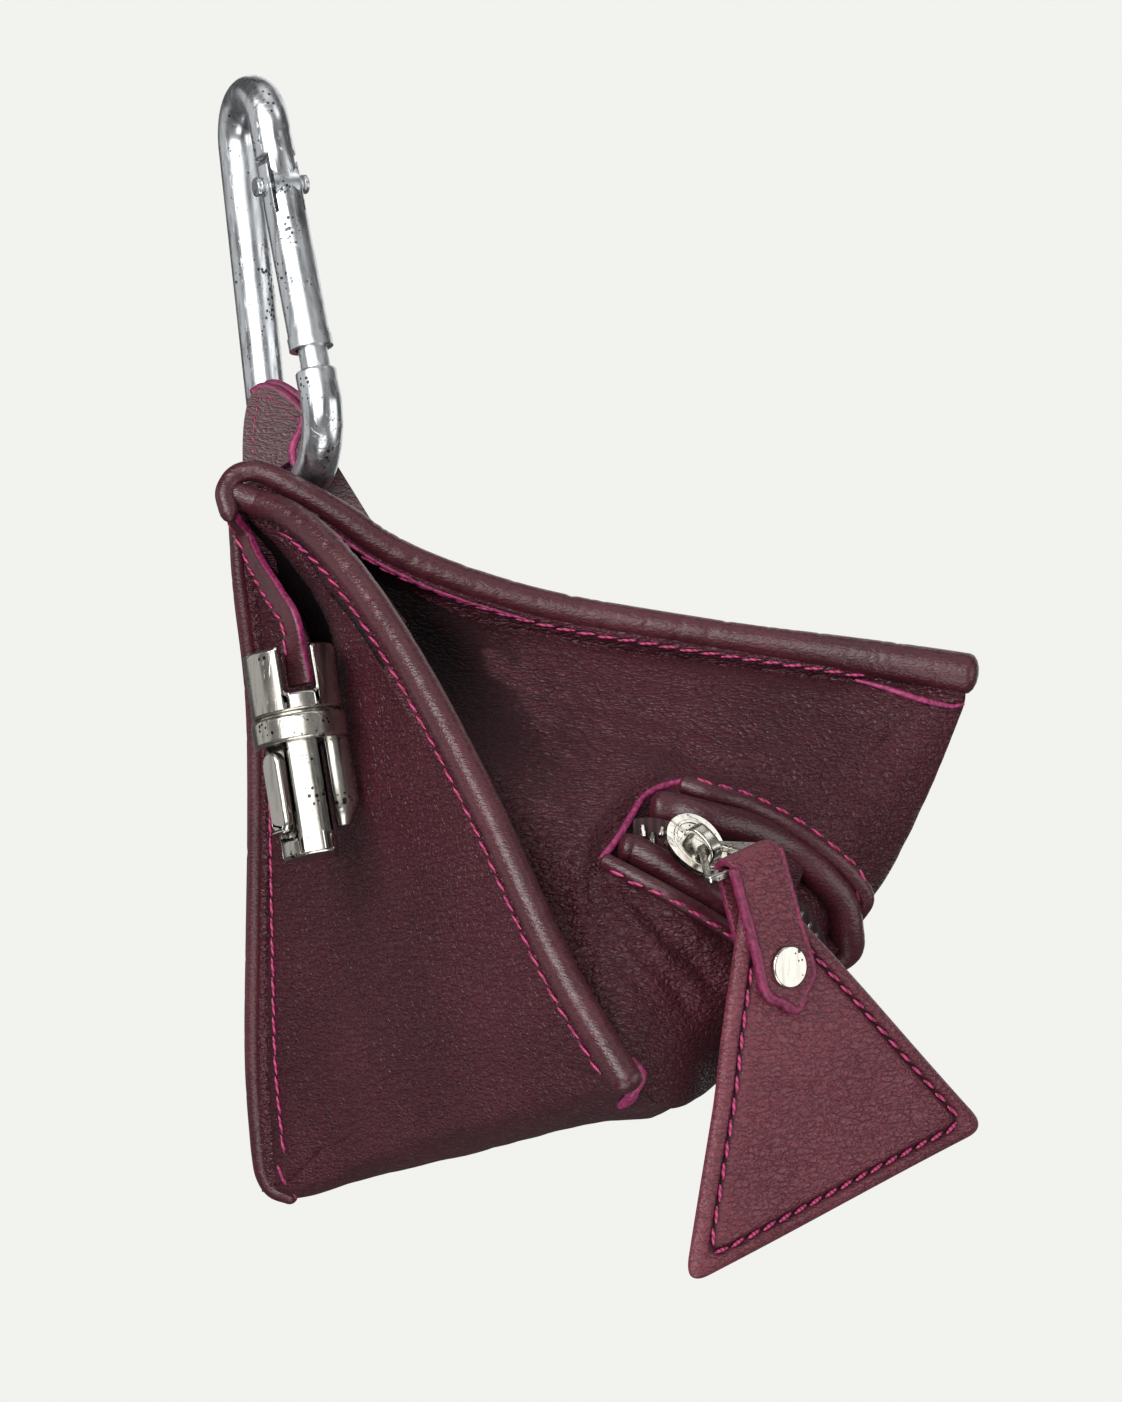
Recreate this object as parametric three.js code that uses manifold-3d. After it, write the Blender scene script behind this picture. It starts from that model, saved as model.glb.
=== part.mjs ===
// Triangle bag: a small leather pouch folded up from a triangle, with three piped seams that meet at its
// top corner, a slit mouth under a metal clasp, a covered zip with a triangle fob, and a snap hook to hang it.
// Millimetres, +Z up, +X to the right and +Y away from the viewer. The origin is where the snap hook hangs.
import * as THREE from "three";
import { mergeVertices } from "three/addons/utils/BufferGeometryUtils.js";
import Module from "manifold-3d";

const wasm = await Module();
wasm.setup();

// General sizes
const GAP = 0.35; // clearance between neighbouring pieces
const SEAM_GAP = 0.95; // clearance between a rolled edge and the wall under it
const WALL = 2.1; // leather wall of the pouch, measured across a section

// Piped seams: radius of the rolled edge at the top corner and along the seam
const ROLL_TIP = 1.8;
const ROLL = 2.9;
const SIDE_ROLL = 1.7;
const ROLL_SIDES = 8;
const SEAM_END = 0.995; // where along the seams the rolled edges are cut off
// The top piping turns round the top corner through these points, after this share of its length
const HAIRPIN = [[-3.6, -18.5, -72.6], [-3.4, -22, -76.6]];
const TOP_SEAM_SHARE = 0.76;
const TOP_STEPS = 56;

// The pouch, a row for each section from the top corner down to the three lower corners.
// front, top, side: where the middle of each piped seam passes.
// out: how far the left, right and back walls stand out (+) or are drawn in (-) between their seams.
const SECTIONS = [
  { front: [0.6, -17, -75.6], top: [-1.8, -16, -72.1], side: [-2.8, -13, -74.7], out: [0, 0, 0] },
  { front: [10.0, -24, -79.7], top: [12.1, -17, -75.0], side: [-1.8, -11, -89.8], out: [0, -1, 1] },
  { front: [20.9, -36, -90.3], top: [29.4, -16, -86.3], side: [0.6, -7, -112.0], out: [0.5, -4, 3] },
  { front: [33.8, -51, -109.5], top: [54.3, -15, -95.1], side: [1.2, -3, -136.4], out: [1, -7, 5] },
  { front: [46.8, -66, -133.7], top: [83.1, -16, -100.5], side: [1.4, 1, -160.9], out: [1.5, -4, 7] },
  { front: [60.1, -80, -161.9], top: [111.9, -18, -104.8], side: [1.8, 5, -185.6], out: [2, 2, 8] },
  { front: [72.4, -92, -182.3], top: [137.0, -20, -108.8], side: [3.6, 9, -207.5], out: [2, -6, 8] },
];
// The walls start this far down the seams, under the piping of the top corner
const FIRST_SHARE = { left: 0.215, right: 0.245, back: 0.215 };
const PANEL_GAP = 0.2; // half the clearance between two walls at a seam
const BASE_FROM = 1.005; // the base starts just past the walls' lower edges
// How far the soft base hangs out past the lower corners:
// at a corner, at the middle of each wall's fold and at its own middle
const BASE_HANG = { corner: 11, left: 16, right: 35, back: 13, middle: 19 };
const BASE_END = 0.94; // last ring before the base closes in its middle
const SEAM_STEPS = 17;
const BASE_STEPS = 5;
const ACROSS_STEPS = 10;
const CUT = { outside: 6, mouthInside: 1.6 * WALL, zipInside: 2.6 * WALL }; // reach of the slots' cutters

// The slit mouth in the left wall, and the lip beside it that is lifted into the clasp
// lip, far: where across the wall the lip and the slit's far edge are at the slit's two ends
const MOUTH = {
  from: 0.2, to: 0.44, lipFrom: 0.35, lipTo: 0.6,
  farFrom: 0.56, farTo: 0.78, hem: 0.04, steps: 10,
};
// The lip's lift, and the shares where it grows and fades
const LIP = {
  lift: 5.6, growFrom: 0.16, growTo: 0.28, fadeFrom: 0.29, fadeTo: 0.37,
  rollFrom: 0.12, rollTo: 0.235, rollStep: 0.05,
};

// The covered zip in the right wall: it runs down the wall, over the fold and on to the base
const ZIP = {
  from: 0.8, to: 1.5, acrossFrom: 0.345, acrossTo: 0.445, steps: 16,
  rise: 4, plateau: 10, skirt: 26,
};
const ZIP_SLOT = 10.9; // half width of the slot in the wall
// inset, endInset: how much sooner than the slot a roll starts and ends
const ZIP_LIP = { offset: 6.6, radius: 3.0, upperRise: -0.5, lowerRise: -1.3, inset: 0.03, endInset: 0.13 };
const ZIP_WELT = { offset: 12.4, radius: 1.25, upperRise: 1.7, lowerRise: 1.7, inset: 0, endInset: 0 };
const ZIP_CHAIN = { half: 2.7, thick: 1.6, rise: -1.6 };
const SLIDER_SHARE = 0.866;
const SLIDER = {
  width: 9.6, length: 12.5, noseShare: 0.72, noseOut: 1.2, plate: 1.5, rise: 4.2, post: 1.6,
  crownHigh: 4.3, crownWide: 2.2, crownLong: 7.4, crownWall: 1.1,
};

// Zip puller: a flat ring, its end bar under the slider's crown and its far bar through the fob's strap
const PULLER = {
  endBar: 1.3, eyeLong: 4.2, eyeWide: 3.8, cross: 2.4, window: 3.9,
  bar: 2.0, thick: 1.5, side: 1.3, neck: 6.2, corner: 1, play: 0.85, slack: 0.4,
};
// Directions of the puller's bar, of the puller, and of the fob, which hangs as low as the bar lets it
const BAR_WAY = new THREE.Vector3(0.755, 0.57, 0.325).normalize();
const PULLER_WAY = new THREE.Vector3(0.649, -0.736, -0.19).projectOnPlane(BAR_WAY).normalize();
const FOB_WAY = new THREE.Vector3(0, 0, -1).projectOnPlane(BAR_WAY).normalize();

// Fob: a stitched triangle of leather on a strap that is folded round the bar and riveted
const FOB = { base: 76.5, high: 67, top: 5.5, corner: 4.2, thick: 3.0 };
const STRAP = { wide: 11.2, thick: 1.5, frontLeg: 28.5, backLeg: 25, tip: 5 };
const RIVET = { cap: 3.9, capHigh: 0.9, shaft: 1.4, down: 20.2 };

// Snap hook: a bent steel rod, narrow at the hinge end and wide at the nose end, with a sprung gate
const HOOK = { rod: 4, length: 84.5, topBend: 9, lowBend: 14.5, lean: 6.2, turn: 66 };
const GATE = {
  hinge: -15.2, end: -47.6, radius: 4.1, ear: 3.0, tongue: 2.1,
  pin: 1.25, pinHead: 2.0, pinOut: 1.1,
};
const NOSE = { neck: 1.25, head: 2.1 };

// Hang tab: a tongue of doubled leather behind the top corner, with a hole for the hook
const TAB = {
  thick: 3.2, lean: 17.5, hole: 6.9, holeWider: 0.6, holeLeft: 0.4, holeDrop: 1.0,
  foot: -18, footLeft: -9.5, footRight: 11, left: -11.6, leftHigh: 4, right: 13.4, rightHigh: -8,
  tip: [-7.4, 19.6], tipCorner: [-12.2, 20.2], shoulder: [1.4, 12.2], shoulderCorner: [-3.6, 19],
};

// Clasp: a slotted cap that takes the lip, over a barrel on a foot that is fixed to the left wall
const CLASP = {
  share: 0.529, across: 0.546, standOff: 10.2, radius: 8.8, lean: 11, bevel: 0.7,
  turn: 37, cap: 12.4, slot: 6.2, slotDeep: 8.8, slotIn: 1.4,
  collarFoot: 4, collar: 5.2, barrel: 21.5, column: 7.1, cup: 4.2, cupIn: 3.4, grooveNear: 1.9, grooveFar: 3.7,
  footWide: 6.4, footLong: 16, footTip: 4, footIn: 3,
  leverWide: 5.4, leverThick: 2.6, leverLong: 16.8, leverTravel: 1.5, leverIn: 1.2, leverGap: 0.5,
};

const root = new THREE.Group();

const FINISH = {
  leather: { color: 0x3b1a24, roughness: 0.5, metalness: 0 },
  zipTape: { color: 0x2a1218, roughness: 0.8, metalness: 0 },
  steel: { color: 0xb9bcc0, roughness: 0.28, metalness: 1 },
  nickel: { color: 0xcfcdc8, roughness: 0.18, metalness: 1 },
};
const MATERIALS = Object.fromEntries(
  Object.entries(FINISH).map(([name, look]) => [name, new THREE.MeshStandardMaterial(look)]),
);

function addPiece(parent, name, geometry, material) {
  const mesh = new THREE.Mesh(geometry, MATERIALS[material]);
  mesh.name = name;
  parent.add(mesh);
  return mesh;
}

// Joining and cutting solids

function solidOf(geometry) {
  const bare = new THREE.BufferGeometry();
  bare.setAttribute("position", geometry.getAttribute("position"));
  if (geometry.index) bare.setIndex(geometry.index);
  const merged = mergeVertices(bare, 1e-4);
  return new wasm.Manifold(
    new wasm.Mesh({
      numProp: 3,
      vertProperties: new Float32Array(merged.attributes.position.array),
      triVerts: new Uint32Array(merged.index.array),
    }),
  );
}

function geometryOf(solid) {
  const mesh = solid.getMesh();
  const geometry = new THREE.BufferGeometry();
  geometry.setAttribute("position", new THREE.BufferAttribute(new Float32Array(mesh.vertProperties), 3));
  geometry.setIndex(new THREE.BufferAttribute(new Uint32Array(mesh.triVerts), 1));
  return geometry;
}

// The main body of a solid, without the slivers that a cut leaves
function largest(solid) {
  const bodies = solid.decompose();
  return bodies.reduce((best, body) => (body.volume() > best.volume() ? body : best));
}

function closedSkin(points, faces) {
  let volume = 0;
  for (const [a, b, c] of faces) {
    volume += points[a].dot(new THREE.Vector3().crossVectors(points[b], points[c]));
  }
  const geometry = new THREE.BufferGeometry().setFromPoints(points);
  geometry.setIndex(faces.flatMap(([a, b, c]) => (volume > 0 ? [a, b, c] : [a, c, b])));
  return geometry;
}

// A closed skin through rings of equally many points, its two ends closed by fans, faces turned outwards
function loft(rings) {
  const count = rings[0].length;
  const points = rings.flat();
  const faces = [];
  for (let r = 0; r + 1 < rings.length; r++) {
    for (let k = 0; k < count; k++) {
      const a = r * count + k;
      const b = r * count + ((k + 1) % count);
      faces.push([a, b, a + count], [b, b + count, a + count]);
    }
  }
  for (const [start, turned] of [[0, true], [(rings.length - 1) * count, false]]) {
    const middle = new THREE.Vector3();
    for (let k = 0; k < count; k++) middle.addScaledVector(points[start + k], 1 / count);
    const hub = points.push(middle) - 1;
    for (let k = 0; k < count; k++) {
      const a = start + k;
      const b = start + ((k + 1) % count);
      faces.push(turned ? [b, a, hub] : [a, b, hub]);
    }
  }
  return closedSkin(points, faces);
}

// A closed slab between two grids of points, faces turned outwards
function slab(outer, inner) {
  const rows = outer.length;
  const count = outer[0].length;
  const points = [...outer.flat(), ...inner.flat()];
  const at = (side, r, k) => side * rows * count + r * count + k;
  const faces = [];
  const quad = (a, b, c, d) => faces.push([a, b, c], [a, c, d]);
  for (let r = 0; r + 1 < rows; r++) {
    for (let k = 0; k + 1 < count; k++) {
      quad(at(0, r, k), at(0, r, k + 1), at(0, r + 1, k + 1), at(0, r + 1, k));
      quad(at(1, r, k), at(1, r + 1, k), at(1, r + 1, k + 1), at(1, r, k + 1));
    }
    quad(at(0, r, 0), at(0, r + 1, 0), at(1, r + 1, 0), at(1, r, 0));
    quad(at(0, r + 1, count - 1), at(0, r, count - 1), at(1, r, count - 1), at(1, r + 1, count - 1));
  }
  for (let k = 0; k + 1 < count; k++) {
    quad(at(0, 0, k + 1), at(0, 0, k), at(1, 0, k), at(1, 0, k + 1));
    quad(at(0, rows - 1, k), at(0, rows - 1, k + 1), at(1, rows - 1, k + 1), at(1, rows - 1, k));
  }
  return closedSkin(points, faces);
}

// A round roll along points, with its own radius at each point and rounded ends
function roll(points, radiusAt, sides = ROLL_SIDES) {
  const rings = [];
  const last = points.length - 1;
  let across = null;
  const ringAt = (centre, along, radius) => {
    const seed = across ?? (Math.abs(along.z) < 0.8 ? new THREE.Vector3(0, 0, 1) : new THREE.Vector3(1, 0, 0));
    across = seed.clone().addScaledVector(along, -seed.dot(along)).normalize();
    const other = new THREE.Vector3().crossVectors(along, across);
    rings.push(
      Array.from({ length: sides }, (_, k) => {
        const turn = (2 * Math.PI * k) / sides;
        return centre
          .clone()
          .addScaledVector(across, radius * Math.cos(turn))
          .addScaledVector(other, radius * Math.sin(turn));
      }),
    );
  };
  points.forEach((point, i) => {
    const along = points[Math.min(i + 1, last)].clone().sub(points[Math.max(i - 1, 0)]).normalize();
    const radius = radiusAt(i / last);
    if (i === 0) ringAt(point.clone().addScaledVector(along, -0.5 * radius), along, 0.6 * radius);
    ringAt(point, along, radius);
    if (i === last) ringAt(point.clone().addScaledVector(along, 0.5 * radius), along, 0.6 * radius);
  });
  return loft(rings);
}

function smoothLine(points, steps) {
  return new THREE.CatmullRomCurve3(points, false, "centripetal").getSpacedPoints(steps);
}

// The pouch's skin

const vec = (xyz) => new THREE.Vector3(...xyz);
const curveThrough = (list) => new THREE.CatmullRomCurve3(list, false, "catmullrom", 0.5);
const SEAMS = {
  front: curveThrough(SECTIONS.map((row) => vec(row.front))),
  top: curveThrough(SECTIONS.map((row) => vec(row.top))),
  side: curveThrough(SECTIONS.map((row) => vec(row.side))),
};
const BULGES = curveThrough(SECTIONS.map((row) => vec(row.out)));
const WALLS = {
  left: { from: "side", to: "front", bulge: "x" },
  right: { from: "front", to: "top", bulge: "y" },
  back: { from: "top", to: "side", bulge: "z" },
};

const rollRadius = (share) => THREE.MathUtils.lerp(ROLL_TIP, ROLL, THREE.MathUtils.smoothstep(share, 0, 0.3));

function incentre(a, b, c) {
  const [la, lb, lc] = [b.distanceTo(c), c.distanceTo(a), a.distanceTo(b)];
  const sum = la + lb + lc;
  const centre = new THREE.Vector3()
    .addScaledVector(a, la / sum)
    .addScaledVector(b, lb / sum)
    .addScaledVector(c, lc / sum);
  const area = new THREE.Vector3().crossVectors(b.clone().sub(a), c.clone().sub(a)).length() / 2;
  return { centre, radius: (2 * area) / sum };
}

// Corners of the shell at a section, inside the piping, drawn in by the wall's thickness for the inner skin
function cornersAt(share, inset) {
  const lines = {
    front: SEAMS.front.getPoint(share),
    top: SEAMS.top.getPoint(share),
    side: SEAMS.side.getPoint(share),
  };
  const middle = incentre(lines.front, lines.top, lines.side).centre;
  const besideRoll = rollRadius(share) + SEAM_GAP;
  const clear = { front: besideRoll, top: besideRoll, side: SIDE_ROLL + SEAM_GAP };
  const corners = {};
  for (const name of Object.keys(lines)) {
    const inward = middle.clone().sub(lines[name]).normalize();
    corners[name] = lines[name].clone().addScaledVector(inward, clear[name]);
  }
  const { centre, radius } = incentre(corners.front, corners.top, corners.side);
  const scale = (radius - inset) / radius;
  for (const name of Object.keys(corners)) corners[name].sub(centre).multiplyScalar(scale).add(centre);
  return { corners, centre };
}

// Where across the left wall the mouth's lip and its far edge are, at a share of the way down
const { mapLinear } = THREE.MathUtils;
const alongMouth = (share, a, b) => mapLinear(Math.min(share, MOUTH.to), MOUTH.from, MOUTH.to, a, b);
const lipAcross = (share) => alongMouth(share, MOUTH.lipFrom, MOUTH.lipTo);
const farAcross = (share) => alongMouth(share, MOUTH.farFrom, MOUTH.farTo);

// How far the lip beside the mouth is lifted off the left wall
function lipLift(share, across) {
  const { smoothstep } = THREE.MathUtils;
  const lip = lipAcross(share);
  const down = smoothstep(share, LIP.growFrom, LIP.growTo) * (1 - smoothstep(share, LIP.fadeFrom, LIP.fadeTo));
  const over = across < lip ? across / lip : 1 - smoothstep(across, lip + MOUTH.hem, farAcross(share));
  return LIP.lift * down * over;
}

const zipAcross = (share) => mapLinear(share, ZIP.from, ZIP.to, ZIP.acrossFrom, ZIP.acrossTo);

// How far the stiff zip pushes the right wall out, at a distance beside its middle
function zipRise(share, beside) {
  const { smoothstep } = THREE.MathUtils;
  const down = smoothstep(share, ZIP.from - 0.14, ZIP.from + 0.03) * (1 - smoothstep(share, 1, 1.4));
  return ZIP.rise * down * (1 - smoothstep(Math.abs(beside), ZIP.plateau, ZIP.skirt));
}

const baseCorners = cornersAt(1, 0);
const BASE_WAY = new THREE.Vector3()
  .crossVectors(
    baseCorners.corners.top.clone().sub(baseCorners.corners.front),
    baseCorners.corners.side.clone().sub(baseCorners.corners.front),
  )
  .normalize();
if (BASE_WAY.z > 0) BASE_WAY.negate();

// A point of a wall: share 0 to 1 runs down the seams and 1 to 2 under the base,
// across 0 to 1 runs from seam to seam
function wallPoint(wall, share, across, inset = 0) {
  const { from, to, bulge } = WALLS[wall];
  const down = Math.min(share, 1);
  const { corners, centre } = cornersAt(down, inset);
  const a = corners[from];
  const b = corners[to];
  const third = corners[Object.keys(corners).find((name) => name !== from && name !== to)];
  const side = b.clone().sub(a);
  const point = a.clone().addScaledVector(side, across);
  const out = point.clone().sub(third);
  out.addScaledVector(side, -out.dot(side) / side.lengthSq()).normalize();
  let rise = BULGES.getPoint(down)[bulge] * 4 * across * (1 - across);
  if (wall === "left") rise += lipLift(down, across);
  if (wall === "right") rise += zipRise(share, (across - zipAcross(share)) * side.length());
  point.addScaledVector(out, rise);
  if (share > 1) {
    const turn = ((share - 1) * Math.PI) / 2;
    point.sub(centre).multiplyScalar(Math.cos(turn) ** 0.6).add(centre);
    const edge = THREE.MathUtils.lerp(BASE_HANG.corner, BASE_HANG[wall], (4 * across * (1 - across)) ** 0.7);
    const hang = THREE.MathUtils.lerp(edge, BASE_HANG.middle, share - 1) - inset;
    point.addScaledVector(BASE_WAY, hang * Math.sin(turn) ** 0.8);
  }
  return point;
}

function sectionRing(share, inset) {
  return ["left", "right", "back"].flatMap((wall) =>
    Array.from({ length: ACROSS_STEPS }, (_, k) => wallPoint(wall, share, k / ACROSS_STEPS, inset)),
  );
}

// A wall between its two seams, down to its lower edge, or a copy that is larger by a clearance all round
function wallPanel(wall, clear = 0) {
  const rows = (inset) =>
    Array.from({ length: SEAM_STEPS + 1 }, (_, i) => {
      const share = mapLinear(i, 0, SEAM_STEPS, FIRST_SHARE[wall], 1);
      const edge = (PANEL_GAP - clear) / wallPoint(wall, share, 0).distanceTo(wallPoint(wall, share, 1));
      return Array.from({ length: ACROSS_STEPS + 1 }, (_, k) =>
        wallPoint(wall, share, mapLinear(k, 0, ACROSS_STEPS, edge, 1 - edge), inset),
      );
    });
  return solidOf(slab(rows(-clear), rows(WALL + clear)));
}

// The soft base under the three walls
function basePanel() {
  const rings = (inset) =>
    Array.from({ length: BASE_STEPS + 1 }, (_, i) => {
      const share = THREE.MathUtils.mapLinear(i, 0, BASE_STEPS, BASE_FROM, 1 + BASE_END);
      return sectionRing(share, inset);
    });
  return solidOf(loft([...rings(0).reverse(), ...rings(WALL)]));
}

// Position, outward normal and directions along and across a wall
function wallFrame(wall, share, across) {
  const step = 0.004;
  const at = wallPoint(wall, share, across);
  const along = wallPoint(wall, share + step, across).sub(wallPoint(wall, share - step, across)).normalize();
  const over = wallPoint(wall, share, across + step).sub(wallPoint(wall, share, across - step)).normalize();
  const normal = new THREE.Vector3().crossVectors(over, along).normalize();
  const inside = cornersAt(Math.min(share, 1), 0).centre;
  if (share <= 1 && normal.dot(at.clone().sub(inside)) < 0) normal.negate();
  if (share > 1 && normal.dot(BASE_WAY) < 0) normal.negate();
  return { at, along, over, normal };
}

// A cutter through a wall along rows of [share, near across, far across, across whose outward direction is used]
function wallCutter(wall, rows, outside, inside) {
  const rings = rows.map(([share, near, far, facing]) => {
    const { normal } = wallFrame(wall, share, facing);
    const a = wallPoint(wall, share, near);
    const b = wallPoint(wall, share, far);
    return [
      a.clone().addScaledVector(normal, outside),
      b.clone().addScaledVector(normal, outside),
      b.clone().addScaledVector(normal, -inside),
      a.clone().addScaledVector(normal, -inside),
    ];
  });
  return solidOf(loft(rings));
}

// Pouch

function mouthRows() {
  return Array.from({ length: MOUTH.steps + 1 }, (_, i) => {
    const share = THREE.MathUtils.lerp(MOUTH.from, MOUTH.to, i / MOUTH.steps);
    const far = farAcross(share);
    return [share, lipAcross(share) + MOUTH.hem, far, far + 2 * MOUTH.hem];
  });
}

// The across value a number of millimetres to one side of the zip's middle
function besideZip(share, offset) {
  const step = 0.02;
  const middle = zipAcross(share);
  const ahead = wallPoint("right", share, middle + step);
  const behind = wallPoint("right", share, middle - step);
  return middle + (2 * step * offset) / ahead.distanceTo(behind);
}

const zipShares = Array.from({ length: ZIP.steps + 1 }, (_, i) => mapLinear(i, 0, ZIP.steps, ZIP.from, ZIP.to));

function buildPouch() {
  const zipRows = zipShares.map((share) => {
    const [near, far] = [-ZIP_SLOT, ZIP_SLOT].map((offset) => besideZip(share, offset));
    return [share, near, far, zipAcross(share)];
  });
  const zipCut = wallCutter("right", zipRows, CUT.outside, CUT.zipInside);
  const mouthCut = wallCutter("left", mouthRows(), CUT.outside, CUT.mouthInside);
  addPiece(root, "wall_left", geometryOf(largest(wallPanel("left").subtract(mouthCut))), "leather");
  const beside = wallPanel("left", GAP).add(wallPanel("back", GAP));
  const right = wallPanel("right").subtract(beside).subtract(zipCut);
  addPiece(root, "wall_right", geometryOf(largest(right)), "leather");
  addPiece(root, "wall_back", geometryOf(wallPanel("back")), "leather");
  addPiece(root, "base", geometryOf(largest(basePanel().subtract(zipCut))), "leather");
}

// The clasp's middle and its directions: out of the left wall, up its axis, and square to its slots
function claspPlace() {
  const { at, normal } = wallFrame("left", CLASP.share, CLASP.across);
  const lean = THREE.MathUtils.degToRad(CLASP.lean);
  const up = new THREE.Vector3(-Math.sin(lean), 0, Math.cos(lean));
  up.addScaledVector(normal, -up.dot(normal)).normalize();
  const turn = THREE.MathUtils.degToRad(CLASP.turn);
  const beside = normal.clone().applyAxisAngle(up, -turn);
  return { at: at.addScaledVector(normal, CLASP.standOff), normal, up, beside };
}

const claspTop = () => CLASP.collarFoot + CLASP.collar + GAP + CLASP.cap;

// Piped seams

function lipLine() {
  const points = [];
  for (let share = LIP.rollFrom; share < LIP.rollTo; share += LIP.rollStep) {
    const { at, normal } = wallFrame("left", share, lipAcross(share));
    points.push(at.addScaledVector(normal, ROLL_TIP + GAP));
  }
  const { at, up, beside } = claspPlace();
  const inSlot = at.addScaledVector(beside, -CLASP.slotIn);
  const slotFoot = claspTop() - CLASP.slotDeep + ROLL_TIP + GAP;
  for (const high of [claspTop() + 1, slotFoot + 1]) points.push(inSlot.clone().addScaledVector(up, high));
  return points;
}

function buildPiping() {
  const alongSeam = (seam, from, steps) =>
    Array.from({ length: steps + 1 }, (_, i) => seam.getPoint(THREE.MathUtils.lerp(from, SEAM_END, i / steps)));
  const frontLine = alongSeam(SEAMS.front, 0.02, 24);
  addPiece(root, "piping_front", roll(frontLine, rollRadius), "leather");
  const sideLine = alongSeam(SEAMS.side, 0.16, 22);
  addPiece(root, "piping_side", roll(sideLine, () => SIDE_ROLL), "leather");
  // The top piping turns round the top corner and runs down the mouth's lip to the clasp
  const topLine = alongSeam(SEAMS.top, 0, 12).reverse();
  const line = smoothLine([...topLine, ...HAIRPIN.map(vec), ...lipLine()], TOP_STEPS);
  const radiusAt = (t) => rollRadius(Math.max(0, 1 - t / TOP_SEAM_SHARE));
  addPiece(root, "piping_top", roll(line, radiusAt), "leather");
}

// Zip

function zipRoll({ offset, radius, upperRise, lowerRise, inset, endInset }, side) {
  const points = zipShares.map((_, i) => {
    const share = THREE.MathUtils.lerp(ZIP.from + inset, ZIP.to - endInset, i / ZIP.steps);
    const { at, normal } = wallFrame("right", share, besideZip(share, side === "upper" ? offset : -offset));
    return at.addScaledVector(normal, side === "upper" ? upperRise : lowerRise);
  });
  return roll(points, () => radius);
}

function buildZip() {
  for (const side of ["upper", "lower"]) {
    addPiece(root, `zip_lip_${side}`, zipRoll(ZIP_LIP, side), "leather");
    addPiece(root, `zip_welt_${side}`, zipRoll(ZIP_WELT, side), "leather");
  }
  const rings = zipShares.slice(1, -1).map((share) => {
    const { at, normal, over } = wallFrame("right", share, zipAcross(share));
    const middle = at.addScaledVector(normal, ZIP_CHAIN.rise);
    const corner = (across, up) => middle.clone().addScaledVector(over, across).addScaledVector(normal, up);
    const { half, thick } = ZIP_CHAIN;
    return [corner(-half, 0), corner(half, 0), corner(half, -thick), corner(-half, -thick)];
  });
  addPiece(root, "zip_chain", loft(rings), "zipTape");
}

// A group whose X, Y and Z lie along three square directions
function groupAt(parent, at, x, z) {
  const group = new THREE.Group();
  const y = new THREE.Vector3().crossVectors(z, x).normalize();
  group.quaternion.setFromRotationMatrix(new THREE.Matrix4().makeBasis(x, y, z));
  group.position.copy(at);
  parent.add(group);
  return group;
}

const boxAt = (sx, sy, sz, x, y, z) => solidOf(new THREE.BoxGeometry(sx, sy, sz).translate(x, y, z));
function rodAt(radius, high, sides, way, x, y, z) {
  const rod = new THREE.CylinderGeometry(radius, radius, high, sides);
  if (way === "x") rod.rotateZ(Math.PI / 2);
  if (way === "z") rod.rotateX(Math.PI / 2);
  return solidOf(rod.translate(x, y, z));
}
function extrude(shape, depth) {
  return new THREE.ExtrudeGeometry(shape, { depth, bevelEnabled: false, curveSegments: 6 });
}

// The slider: a top plate with round ends, a post down to the chain and an arched crown
function buildSlider() {
  const { at, normal, along } = wallFrame("right", SLIDER_SHARE, zipAcross(SLIDER_SHARE));
  const slider = groupAt(root, at, along, normal);
  const half = SLIDER.width / 2;
  const flat = SLIDER.length / 2 - half;
  const outline = new THREE.Shape();
  outline.absarc(-flat, 0, half, Math.PI / 2, (3 * Math.PI) / 2);
  outline.absarc(flat + SLIDER.noseOut, 0, half * SLIDER.noseShare, -Math.PI / 2, Math.PI / 2);
  const plateTop = SLIDER.rise + SLIDER.plate;
  const postFoot = ZIP_CHAIN.rise + GAP;
  const crown = SLIDER.crownLong;
  const wall = SLIDER.crownWall;
  const bite = 0.2; // depth that joined pieces run into each other
  const tunnelHigh = SLIDER.crownHigh - wall;
  const arch = boxAt(crown, SLIDER.crownWide, SLIDER.crownHigh, 0, 0, plateTop + SLIDER.crownHigh / 2 - bite);
  const tunnel = boxAt(crown - 2 * wall, SLIDER.crownWide + 1, tunnelHigh, 0, 0, plateTop + tunnelHigh / 2);
  const postHigh = SLIDER.rise - postFoot + 2 * bite;
  const body = solidOf(extrude(outline, SLIDER.plate).translate(0, 0, SLIDER.rise))
    .add(arch.subtract(tunnel))
    .add(rodAt(SLIDER.post, postHigh, 10, "z", 0, 0, postFoot + postHigh / 2));
  addPiece(slider, "zip_slider", geometryOf(body), "nickel");
  const pinIn = PULLER.endBar / 2;
  const pinAt = new THREE.Vector3(crown / 2 - wall - pinIn - PULLER.play, 0, plateTop + pinIn + 2 * GAP);
  return pinAt.applyQuaternion(slider.quaternion).add(slider.position);
}

// Half widths of the puller and its window where its far bar is, and how far out its openings are
const windowHalf = STRAP.wide / 2 + PULLER.slack;
const pullerHalf = windowHalf + PULLER.side;
const eyeStart = PULLER.endBar / 2;
const windowStart = eyeStart + PULLER.eyeLong + PULLER.cross;
const barFrom = windowStart + PULLER.window - PULLER.bar / 2;
const barAt = barFrom + PULLER.bar / 2;

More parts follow.
